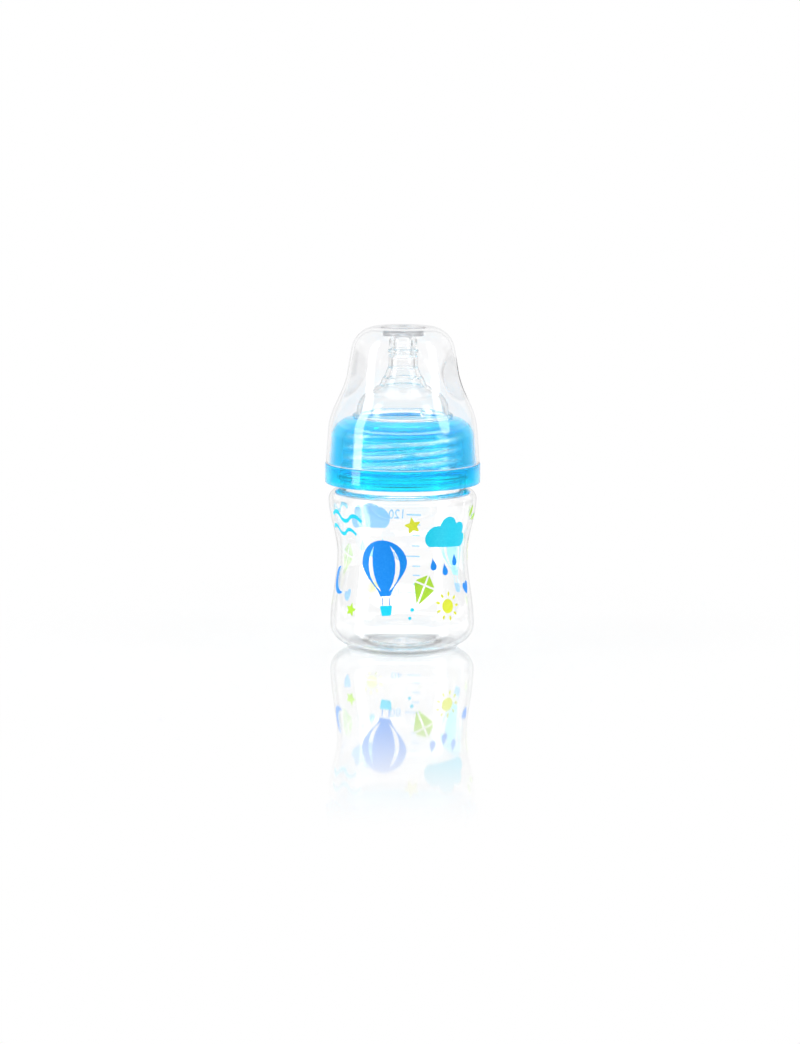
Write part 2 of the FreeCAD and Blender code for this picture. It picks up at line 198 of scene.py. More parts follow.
@dataclass(frozen=True)
class EtchedFaces:
    """The etched faces of the cap, in millimetres: two opposite thumb scoops, the collar inside and the rim.

    Each scoop is part of a level round bar.
    """

    azimuth: float                 # of one of the scoops, in degrees
    axis: float                    # from the bottle's axis to the bar's
    height: float
    radius: float
    collar: float                  # its outer radius
    ceiling: float                 # height of the collar's upper end
    rim: float                     # height of the rim's upper end
    edge: float = 0.2              # width over which an etching ends
    scoop_look: Look = Look("#F8F9FA", 0.21)
    collar_look: Look = Look("#D6D7D9", 0.2)
    rim_look: Look = Look("#FFFFFF", 0.3, 0.6)

    def covers(self, tree: bpy.types.NodeTree, place: bpy.types.NodeSocket
               ) -> list[tuple[bpy.types.NodeSocket, Look]]:
        """Adds nodes that find how far a place is etched.

        Args:
            tree: The material's node tree.
            place: The place, in Object coordinates.

        Returns:
            The share, from 0 to 1, of each kind of etching, with its look.
        """
        turned = add_node(tree, "ShaderNodeMapping", {
            "Vector": place, "Rotation": (0.0, 0.0, -math.radians(self.azimuth))})
        parts = add_node(tree, "ShaderNodeSeparateXYZ", {0: turned.outputs["Vector"]})
        out = add_node(tree, "ShaderNodeMath", {0: parts.outputs["X"]}, operation="ABSOLUTE")
        section = add_node(tree, "ShaderNodeCombineXYZ", {"X": out.outputs["Value"], "Z": parts.outputs["Z"]})
        away = add_node(tree, "ShaderNodeVectorMath", {
            0: section.outputs["Vector"], 1: (self.axis * MM, 0.0, self.height * MM)}, operation="DISTANCE")
        flat = add_node(tree, "ShaderNodeVectorMath", {0: place, 1: (1.0, 1.0, 0.0)}, operation="MULTIPLY")
        round_axis = add_node(tree, "ShaderNodeVectorMath", {0: flat.outputs["Vector"]}, operation="LENGTH")
        scoop, inside, below, rim = (add_node(tree, "ShaderNodeMapRange", {
            "Value": value, "From Min": (limit + self.edge) * MM, "From Max": (limit + self.edge / 4) * MM,
        }).outputs["Result"] for value, limit in (
            (away.outputs["Value"], self.radius), (round_axis.outputs["Value"], self.collar),
            (parts.outputs["Z"], self.ceiling - self.edge), (parts.outputs["Z"], self.rim)))
        collar = add_node(tree, "ShaderNodeMath", {0: inside, 1: below}, operation="MULTIPLY").outputs[0]
        return [(scoop, self.scoop_look), (collar, self.collar_look), (rim, self.rim_look)]


@dataclass(frozen=True)
class ThinStreaks:
    """Pale stripes painted in a threaded wall where it is thin between the ridges, as painted highlights of
    the lamps on its relief; sizes are in millimetres.
    """

    bottom: float
    top: float
    phase: float                   # of the ridges, as a share of the pitch
    pitch: float
    starts: int
    fade: float = 1.2              # at both ends
    patch: float = 14.0            # size of the patches in which they stray and fade
    stray: float = 0.3             # from their line, as a share of the pitch
    crest: float = 0.25            # share of a wave at which it is highest
    wave_band: tuple[float, float] = (-0.2, 0.8)       # of the wave, from no streak to a full one
    patch_band: tuple[float, float] = (0.25, 0.5)      # of the patches
    facing_band: tuple[float, float] = (0.45, 0.15)    # of how far the wall turns away
    streak: Look = Look("#DCFBFF", 0.02, 0.27)

    def covers(self, tree: bpy.types.NodeTree, place: bpy.types.NodeSocket
               ) -> list[tuple[bpy.types.NodeSocket, Look]]:
        """Adds nodes that find how far a place is in a painted highlight.

        Args:
            tree: The material's node tree.
            place: The place, in Object coordinates.

        Returns:
            The share, from 0 to 1, with the look of the painted highlights.
        """
        parts = add_node(tree, "ShaderNodeSeparateXYZ", {0: place})
        patches = add_node(tree, "ShaderNodeTexNoise", {
            "Vector": place, "Scale": noise_scale(self.patch), "Detail": 1.0}).outputs["Fac"]
        angle = add_node(tree, "ShaderNodeMath", {0: parts.outputs["Y"], 1: parts.outputs["X"]},
                         operation="ARCTAN2").outputs["Value"]
        height, fade = parts.outputs["Z"], self.fade * MM
        bottom, top = self.bottom * MM, self.top * MM
        wave = -(self.bottom / self.pitch + self.phase + self.crest) * math.tau
        for value, factor in ((height, math.tau / (self.pitch * MM)), (angle, -self.starts),
                              (patches, self.stray * math.tau)):
            wave = add_node(tree, "ShaderNodeMath", {0: value, 1: factor, 2: wave},
                            operation="MULTIPLY_ADD").outputs["Value"]
        wave = add_node(tree, "ShaderNodeMath", {0: wave}, operation="SINE").outputs["Value"]
        facing = add_node(tree, "ShaderNodeLayerWeight", {"Blend": 0.5}).outputs["Facing"]
        share = share_within(tree, (
            (wave, *self.wave_band), (patches, *self.patch_band), (facing, *self.facing_band),
            (height, bottom, bottom + fade), (height, top, top - fade)))
        return [(share, self.streak)]


@dataclass(frozen=True)
class ThickHeel:
    """Painted grey shade on the container's heel, in millimetres, where the heel is seen edge on."""

    bottom: float                  # where the painted shade is fullest
    top: float                     # where the painted shade ends
    turned: tuple[float, float] = (0.55, 0.9)          # how far it turns away, from face on to edge on
    deep: Look = Look("#A2A8AE", 0.01)

    def covers(self, tree: bpy.types.NodeTree, place: bpy.types.NodeSocket
               ) -> list[tuple[bpy.types.NodeSocket, Look]]:
        """Adds nodes that find how far a place takes the painted shade.

        Args:
            tree: The material's node tree.
            place: The place, in Object coordinates.

        Returns:
            The share, from 0 to 1, with the look of the painted shade.
        """
        height = add_node(tree, "ShaderNodeSeparateXYZ", {0: place}).outputs["Z"]
        facing = add_node(tree, "ShaderNodeLayerWeight", {"Blend": 0.5}).outputs["Facing"]
        share = share_within(tree, ((height, self.top * MM, self.bottom * MM), (facing, *self.turned)))
        return [(share, self.deep)]


Cover = EtchedFaces | ThinStreaks | ThickHeel          # a look on part of a clear moulding: etched faces, painted highlights, or painted shade on the heel


@dataclass(frozen=True)
class ClearMoulding:
    """A see-through moulding: a glossy skin with slow flow ripples, a dye with painted shade where the skin
    is seen edge on, and a tint of the wall.

    The ripples bend what is seen through the wall a little, as moulded plastic does and cut glass doesn't.
    """

    name: str
    ior: float
    gloss: tuple[float, float]     # least and most roughness
    haze_mm: float                 # size of the patches of roughness
    ripple_mm: float
    ripple_depth_mm: float
    tint: str                      # what the absorption lets through
    density: float                 # of the absorption, per metre
    dye: str = "#FFFFFF"
    rim: str = "#FFFFFF"           # painted edge shade: the colour that takes the dye's place where the skin is seen edge on
    rim_range: tuple[float, float] = (0.75, 0.97)      # how far it turns away, from face on to edge on
    cloud: float = 0.0             # share of the light that the wall scatters, face on
    rim_cloud: float = 0.0         # the same edge on, where the way through the wall is longer
    haze_band: tuple[float, float] = (0.35, 0.65)      # of the patches, from least to most roughness

    def material(self, cover: Cover | None = None) -> bpy.types.Material:
        """Makes the material.

        Args:
            cover: The look on part of a piece that has one.

        Returns:
            The material, with its absorption as a volume.
        """
        material = bare_material(self.name)
        tree = material.node_tree
        place = add_node(tree, "ShaderNodeTexCoord").outputs["Object"]
        haze = add_node(tree, "ShaderNodeTexNoise", {
            "Vector": place, "Scale": noise_scale(self.haze_mm), "Detail": 3.0})
        gloss = add_node(tree, "ShaderNodeMapRange", {
            "Value": haze.outputs["Fac"], "From Min": self.haze_band[0], "From Max": self.haze_band[1],
            "To Min": self.gloss[0], "To Max": self.gloss[1]})
        ripple = add_node(tree, "ShaderNodeTexNoise", {
            "Vector": place, "Scale": noise_scale(self.ripple_mm), "Detail": 1.0})
        bump = add_node(tree, "ShaderNodeBump", {
            "Height": ripple.outputs["Fac"], "Distance": self.ripple_depth_mm * MM})
        facing = add_node(tree, "ShaderNodeLayerWeight", {"Blend": 0.5}).outputs["Facing"]
        # The dye face on, turning to the painted edge shade where the skin is seen edge on
        dye = add_node(tree, "ShaderNodeValToRGB", {"Fac": facing})
        clarity = 1 - self.cloud
        if self.rim_cloud > self.cloud:
            clarity = add_node(tree, "ShaderNodeMapRange", {
                "Value": facing, "From Min": self.rim_range[0], "From Max": self.rim_range[1],
                "To Min": 1 - self.cloud, "To Max": 1 - self.rim_cloud}).outputs["Result"]
        for stop, share, colour in zip(dye.color_ramp.elements, self.rim_range, (self.dye, self.rim)):
            stop.position, stop.color = share, linear(colour)
        colour, roughness = dye.outputs["Color"], gloss.outputs["Result"]
        for share, look in cover.covers(tree, place) if cover else ():
            colour = add_node(tree, "ShaderNodeMix", {0: share, 6: colour, 7: linear(look.colour)},
                              data_type="RGBA").outputs[2]
            roughness = add_node(tree, "ShaderNodeMix", {
                0: share, 2: roughness, 3: look.roughness}).outputs[0]
            if clarity != 1 - look.cloud:
                clarity = add_node(tree, "ShaderNodeMix", {
                    0: share, 2: clarity, 3: 1 - look.cloud}).outputs[0]
        skin = add_node(tree, "ShaderNodeBsdfPrincipled", {
            "Base Color": colour, "Roughness": roughness, "IOR": self.ior,
            "Transmission Weight": clarity, "Normal": bump.outputs["Normal"]})
        absorption = add_node(tree, "ShaderNodeVolumeAbsorption", {
            "Color": linear(self.tint), "Density": self.density})
        add_node(tree, "ShaderNodeOutputMaterial", {
            "Surface": skin.outputs["BSDF"], "Volume": absorption.outputs["Volume"]})
        return material


@dataclass(frozen=True)
class ScreenInk:
    """Screen-printed ink: flat opaque colour whose cover varies a little with the mesh of the screen."""

    name: str
    colour: str
    thin_colour: str               # where the cover is thinner
    mesh_mm: float = 0.5           # drawn coarser than a real screen, which is too fine to show
    relief_mm: float = 0.004
    cover_band: tuple[float, float] = (0.38, 0.58)     # of the mesh's noise, from thin cover to full
    ior: float = 1.48
    roughness: float = 0.38
    specular: float = 0.2          # matt pigment stands in the skin and takes most of its gloss

    def material(self) -> bpy.types.Material:
        """Makes the material.

        Returns:
            The material.
        """
        material = bare_material(self.name)
        tree = material.node_tree
        place = add_node(tree, "ShaderNodeTexCoord").outputs["Object"]
        cover = add_node(tree, "ShaderNodeTexNoise", {
            "Vector": place, "Scale": noise_scale(self.mesh_mm), "Detail": 2.0, "Roughness": 0.6})
        colour = add_node(tree, "ShaderNodeValToRGB", {"Fac": cover.outputs["Fac"]})
        shades = self.thin_colour, self.colour
        for stop, share, shade in zip(colour.color_ramp.elements, self.cover_band, shades):
            stop.position, stop.color = share, linear(shade)
        bump = add_node(tree, "ShaderNodeBump", {
            "Height": cover.outputs["Fac"], "Distance": self.relief_mm * MM})
        skin = add_node(tree, "ShaderNodeBsdfPrincipled", {
            "Base Color": colour.outputs["Color"], "Roughness": self.roughness, "IOR": self.ior,
            "Specular IOR Level": self.specular, "Normal": bump.outputs["Normal"]})
        add_node(tree, "ShaderNodeOutputMaterial", {"Surface": skin.outputs["BSDF"]})
        return material


class Finish(Enum):
    """The finishes of the bottle's own mouldings."""

    # Clarified polypropylene, blow moulded in a polished tool: colourless, with painted grey shade where it
    # is seen edge on
    CONTAINER = ClearMoulding("clarified polypropylene, blow moulded", 1.49, (0.0, 0.02), 9.0, 14.0, 0.02,
                              "#E8EEF0", 10.0, rim="#3E444A", rim_range=(0.7, 0.98))
    # The cap's thinner wall is flatter and glossier than the container's, with a paler painted grey shade at
    # its edges
    CAP = ClearMoulding("clarified polypropylene, injection moulded", 1.42, (0.0, 0.015), 12.0, 18.0, 0.012,
                        "#EFEFF1", 100.0, rim="#9A9DA2")
    # Silicone is softer and a little milky, so its edges are less crisp; its painted grey edge shade starts
    # further from the edge
    SILICONE = ClearMoulding("clear silicone rubber, moulded", 1.41, (0.03, 0.09), 3.0, 5.0, 0.01,
                             "#E6EBEA", 15.0, rim="#5C6268", rim_range=(0.6, 0.95))
    # Strong transparent dye in a faintly cloudy wall: sky blue all over, with a deeper blue painted at its
    # edges as shade, and the threads show through it
    RING = ClearMoulding("tinted translucent polypropylene, injection moulded", 1.45, (0.0, 0.03), 6.0, 10.0,
                         0.015, "#9FE9FF", 20.0, "#06E2FF", "#00D4FF", (0.25, 0.6), 0.06, 0.5)


class Ink(Enum):
    """The print's inks, each with its paler back, which is seen through the container."""

    BLUE = ("#0083E8", "#1E93EE", "#9CCDF2")
    CYAN = ("#00C6E6", "#22D2EC", "#A6E4F2")
    LIME = ("#A2D42C", "#B3DC4A", "#D6ECB2")
    SUN = ("#D3DC28", "#DCE34C", "#EAF0B8")

    def materials(self) -> list[bpy.types.Material]:
        """The ink's front and back materials."""
        front, thin, back = self.value
        name = self.name.lower()
        return [ScreenInk(f"screen ink, {name}", front, thin).material(),
                ScreenInk(f"screen ink, {name}, back", back, back).material()]


class Outline:
    """A wire in the XZ plane, in millimetres: half a turned section, or the edge of a flat printed shape.

    In a half section X is the radius. In a printed shape X runs to the viewer's right. Z is up in both.
    """

    def __init__(self, x: float, z: float) -> None:
        """Starts the wire at a point."""
        self.wire = bmesh.new()
        self.corners: list[tuple[bmesh.types.BMVert, float]] = []
        self.start(x, z)

    def start(self, x: float, z: float) -> "Outline":
        """Starts another loop at a point, and returns the outline."""
        self.first = self.last = self.wire.verts.new((x, 0.0, z))
        return self

    def to(self, x: float, z: float, rounding: float = 0.0) -> "Outline":
        """Draws a straight run.

        Args:
            x: Where it ends.
            z: Where it ends.
            rounding: Radius of the corner there.

        Returns:
            The outline.
        """
        corner = self.wire.verts.new((x, 0.0, z))
        self.wire.edges.new((self.last, corner))
        if rounding > 0:
            self.corners.append((corner, rounding))
        self.last = corner
        return self

    def through(self, corners: Iterable[tuple[float, float, float]]) -> "Outline":
        """Draws straight runs through (x, z, rounding) corners, and returns the outline."""
        for x, z, rounding in corners:
            self.to(x, z, rounding)
        return self

    def bow(self, x: float, z: float, rise: float) -> "Outline":
        """Draws an arc.

        Args:
            x: Where it ends.
            z: Where it ends.
            rise: How far it stands out from the straight run, to the right of its direction.

        Returns:
            The outline.
        """
        start, end = self.last.co.copy(), Vector((x, 0.0, z))
        chord = end - start
        left = Vector((-chord.z, 0.0, chord.x)).normalized()
        radius = (chord.length_squared / 4 + rise * rise) / (2 * rise)
        turn = 4 * math.atan(2 * rise / chord.length)
        made = bmesh.ops.spin(
            self.wire, geom=[self.last], cent=(start + end) / 2 + left * (radius - rise), axis=(0, -1, 0),
            angle=turn, steps=max(BOW_LEAST, math.ceil(abs(turn) / BOW_STEP)), use_merge=False)
        self.last = made["geom_last"][0]
        return self

    def curve(self, x: float, z: float, leave: tuple[float, float], arrive: tuple[float, float],
              steps: int = 24) -> "Outline":
        """Draws a smooth curve.

        Args:
            x: Where it ends.
            z: Where it ends.
            leave: The handle at its start, as a step in x and z.
            arrive: The handle at its end, as the step that leads into it.
            steps: How many short runs make it.

        Returns:
            The outline.
        """
        start, end = self.last.co.copy(), Vector((x, 0.0, z))
        handles = start + Vector((leave[0], 0.0, leave[1])), end - Vector((arrive[0], 0.0, arrive[1]))
        for point in interpolate_bezier(start, *handles, end, steps + 1)[1:]:
            self.to(point.x, point.z)
        return self

    def sway(self, x: float, z: float) -> "Outline":
        """Draws a soft S that leaves and arrives upright, and returns the outline."""
        pull = (0.0, (z - self.last.co.z) / 3)
        return self.curve(x, z, pull, pull)

    def swell(self, x: float, z: float) -> "Outline":
        """Draws a quarter oval, level at its lower and upright at its upper end, and returns the outline."""
        reach = ((x - self.last.co.x) * OVAL_PULL, 0.0)
        rise = (0.0, (z - self.last.co.z) * OVAL_PULL)
        return self.curve(x, z, reach, rise) if z > self.last.co.z else self.curve(x, z, rise, reach)

    def close(self) -> "Outline":
        """Draws the last run, back to the start of the loop, and returns the outline."""
        if (self.last.co - self.first.co).length > WELD:
            self.wire.edges.new((self.last, self.first))
        return self

    def round_corners(self) -> "Outline":
        """Rounds the corners; two that meet on a run too short for both are made smaller alike.

        Returns:
            The outline.
        """
        inner, wanted = {}, {}
        for corner, rounding in self.corners:
            back, ahead = (edge.other_vert(corner).co - corner.co for edge in corner.link_edges)
            inner[corner] = back.angle(ahead)
            wanted[corner] = rounding / math.tan(inner[corner] / 2)
        reaches = dict(wanted)
        for edge in self.wire.edges:
            ends = [vertex for vertex in edge.verts if vertex in wanted]
            total = sum(wanted[vertex] for vertex in ends)
            room = RUN_SHARE * edge.calc_length()
            for vertex in ends:
                if total > room:
                    reaches[vertex] = min(reaches[vertex], wanted[vertex] * room / total)
        for corner, reach in reaches.items():
            arc = (math.pi - inner[corner]) * reach * math.tan(inner[corner] / 2)
            bmesh.ops.bevel(
                self.wire, geom=[corner], offset=reach, offset_type="OFFSET", affect="VERTICES",
                segments=min(max(math.ceil(arc / ARC_STEP), ARC_LEAST), ARC_MOST), profile=0.5, material=-1,
                clamp_overlap=False)
        self.corners = []
        bmesh.ops.remove_doubles(self.wire, verts=self.wire.verts, dist=WELD)
        return self

    def refine(self, step: float, low: float = -math.inf, high: float = math.inf) -> "Outline":
        """Divides long runs.

        Args:
            step: The longest run that stays whole.
            low: Runs whose middle is lower than this are left.
            high: Runs whose middle is higher than this are left.

        Returns:
            The outline.
        """
        by_cuts: dict[int, list[bmesh.types.BMEdge]] = {}
        for edge in self.wire.edges:
            middle = (edge.verts[0].co.z + edge.verts[1].co.z) / 2
            cuts = math.ceil(edge.calc_length() / step) - 1
            if cuts > 0 and low < middle < high:
                by_cuts.setdefault(cuts, []).append(edge)
        for cuts, edges in by_cuts.items():
            bmesh.ops.subdivide_edges(self.wire, edges=edges, cuts=cuts)
        return self

    def turned(self, segments: int) -> bmesh.types.BMesh:
        """Turns the half section once about Z.

        Args:
            segments: How many steps make the turn.

        Returns:
            The closed solid, with its faces outwards.
        """
        bmesh.ops.spin(self.wire, geom=self.wire.verts[:] + self.wire.edges[:], cent=(0, 0, 0), axis=UP,
                       angle=math.tau, steps=segments, use_merge=True)
        bmesh.ops.remove_doubles(self.wire, verts=self.wire.verts, dist=WELD)
        bmesh.ops.recalc_face_normals(self.wire, faces=self.wire.faces)
        self.wire.normal_update()
        return self.wire

    def filled(self) -> bmesh.types.BMesh:
        """Fills the loops as one flat shape; a loop inside another is a hole.

        Returns:
            The flat mesh.
        """
        self.round_corners()
        bmesh.ops.triangle_fill(self.wire, use_beauty=True, use_dissolve=False, edges=self.wire.edges)
        return self.wire


def smooth_step(share: float) -> float:
    """Eases a share from 0 to 1, level at both ends."""
    share = min(max(share, 0.0), 1.0)
    return share * share * (3 - 2 * share)


def add_piece(name: str, solid: bmesh.types.BMesh, body: Body,
              materials: list[bpy.types.Material], replaced: str | None = None) -> bpy.types.Object:
    """Makes a piece of the bottle from a finished mesh, which is used up.

    Args:
        name: The piece's name.
        solid: Its mesh, in millimetres.
        body: The body that it moves with.
        materials: Its materials, in the order of its faces' indices.
        replaced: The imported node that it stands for.

    Returns:
        The piece.
    """
    bmesh.ops.scale(solid, vec=(MM, MM, MM), verts=solid.verts)
    for face in solid.faces:
        face.smooth = True
    mesh = bpy.data.meshes.new(name)
    solid.to_mesh(mesh)
    solid.free()
    mesh.set_sharp_from_angle(angle=SHARP_EDGE)
    for material in materials:
        mesh.materials.append(material)
    piece = bpy.data.objects.new(name, mesh)
    bpy.context.scene.collection.objects.link(piece)
    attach(piece, body.value)
    if replaced:
        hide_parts(replaced)
    LOG.info("%s: %d faces, on %s", name, len(mesh.polygons), body.value)
    return piece


@dataclass(frozen=True)
class Extent:
    """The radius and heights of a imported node, in millimetres."""

    radius: float
    bottom: float
    top: float

    @classmethod
    def of(cls, node: str) -> "Extent":
        """Reads a node's extent from the frame."""
        low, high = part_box(node)
        return cls((high.x - low.x) / 2 / MM, low.z / MM, high.z / MM)


@dataclass(frozen=True)
class Thread:
    """A right-hand screw thread of several starts, raised on a round wall; it rises to the viewer's right."""

    wall_radius: float
    height: float                  # outwards, or inwards if it is below zero
    bottom: float
    top: float
    phase: float                   # share of the pitch by which it is shifted up
    width: float = 2.3
    lead: float = 13.5
    starts: int = 3
    crest: float = 0.35            # half the width of its flat top
    run_out: float = 2.4           # length over which it fades at both ends
    lean: float = 0.0              # of the wall, inwards for each millimetre up

    def raise_on(self, solid: bmesh.types.BMesh) -> None:
        """Raises the thread on the wall of a turned solid."""
        pitch = self.lead / self.starts
        for vertex in solid.verts:
            radius = math.hypot(vertex.co.x, vertex.co.y)
            inside = min(vertex.co.z - self.bottom, self.top - vertex.co.z)
            wall = self.wall_radius - self.lean * (vertex.co.z - self.bottom)
            if abs(radius - wall) > ON_WALL or inside <= 0:
                continue
            turn = math.atan2(vertex.co.y, vertex.co.x) / math.tau
            share = (vertex.co.z - self.bottom) / pitch - turn * self.starts - self.phase
            away = abs((share + 0.5) % 1.0 - 0.5) * pitch
            flank = smooth_step((self.width / 2 - away) / (self.width / 2 - self.crest))
            lift = self.height * flank * smooth_step(inside / self.run_out)
            vertex.co.xy *= (radius + lift) / radius


@dataclass
class Container:
    """The waisted container: an oval base with a hollow, a belly, a waist, a shoulder and a threaded neck."""

    belly_radius: float = 30.7
    base_reach: float = 13.4
    base_rise: float = 9.8
    standing_width: float = 2.4
    waist_radius: float = 27.7
    waist_height: float = 40.4
    shoulder_height: float = 68.0
    shoulder_round: float = 4.2
    wall: float = 1.4
    punt_step: float = 1.0
    punt_flare: float = 1.6
    punt_rise: float = 2.2
    gate_radius: float = 1.6
    gate_depth: float = 0.3
    neck_radius: float = 26.8
    neck_wall: float = 2.2
    rim_round: float = 0.7
    bead_lift: float = 4.6
    bead_width: float = 2.0
    bead_height: float = 1.4
    thread_height: float = 1.1
    thread_gap: float = 1.2        # of plain neck between the bead and the thread, and below the rim
    bore_round: float = 0.5
    heel_thick: float = 3.0        # height up to which the painted heel shade is full
    heel_thin: float = 9.0         # height from which there is no painted heel shade
    segments: int = 176

    def build(self) -> bmesh.types.BMesh:
        """Turns the container's section and raises its thread.

        Returns:
            The mesh, in millimetres.
        """
        extent = Extent.of("bottle_body")
        wall, rim = self.wall, extent.top
        contact = self.belly_radius - self.base_reach
        punt = contact - self.standing_width
        punt_top = punt - self.punt_flare
        side_top = self.shoulder_height - self.shoulder_round
        ledge = extent.radius - self.shoulder_round
        bead_bottom = self.shoulder_height + self.bead_lift
        bead_top = bead_bottom + self.bead_width
        bead_radius = self.neck_radius + self.bead_height
        bore = self.neck_radius - self.neck_wall
        inner_round = self.shoulder_round - wall
        thread_bottom, thread_top = bead_top + self.thread_gap, rim - self.thread_gap
        section = Outline(0, self.punt_rise + self.gate_depth).through([
            (self.gate_radius, self.punt_rise + self.gate_depth, self.gate_depth / 2),
            (self.gate_radius, self.punt_rise, self.gate_depth / 2),
            (punt_top, self.punt_step, self.punt_step),
            (punt, 0, self.punt_step / 2),
            (contact, 0, 0),
        ])
        section.swell(self.belly_radius, self.base_rise).sway(self.waist_radius, self.waist_height)
        section.sway(extent.radius, side_top)
        section.bow(ledge, self.shoulder_height, self.shoulder_round * QUARTER_RISE)
        section.through([
            (self.neck_radius, self.shoulder_height, FOOT_ROUND),
            (self.neck_radius, bead_bottom, EDGE_ROUND),
            (bead_radius, bead_bottom, self.bead_width / 2),
            (bead_radius, bead_top, self.bead_width / 2),
            (self.neck_radius, bead_top, EDGE_ROUND),
            (self.neck_radius, rim, self.rim_round),
            (bore, rim, self.rim_round),
            (bore, self.shoulder_height - wall, self.bore_round),
            (ledge, self.shoulder_height - wall, 0),
        ])
        section.bow(ledge + inner_round, side_top, -inner_round * QUARTER_RISE)
        section.sway(self.waist_radius - wall, self.waist_height)
        section.sway(self.belly_radius - wall, self.base_rise)
        section.swell(contact, wall).through([
            (punt, wall, self.punt_step),
            (punt_top, self.punt_step + wall, self.punt_step),
            (0, self.punt_rise + wall, 0),
        ])
        section.round_corners().refine(LONG_RUN).refine(THREAD_RUN, thread_bottom, thread_top)
        solid = section.turned(self.segments)
        Thread(self.neck_radius, self.thread_height, thread_bottom, thread_top, 0.0).raise_on(solid)
        return solid

    def fill_height(self, volume_ml: float, surface: "Surface") -> float:
        """Finds how high a filling stands.

        Args:
            volume_ml: The filling.
            surface: The container's outside.

        Returns:
            The height of its top above the standing rim.
        """
        height, left, slice_height = self.punt_step + self.wall, volume_ml * CUBIC_MM_PER_ML, 0.1
        while left > 0:
            radius = surface.radius(0.0, height) - self.wall
            left -= math.pi * radius * radius * slice_height
            height += slice_height
        return height

    def dress(self, solid: bmesh.types.BMesh) -> None:
        """Makes the container a piece."""
        # Painted grey shade on the heel, where it is seen edge on
        material = Finish.CONTAINER.value.material(ThickHeel(self.heel_thick, self.heel_thin))
        add_piece("container_wall", solid, Body.CONTAINER, [material], "bottle_body")


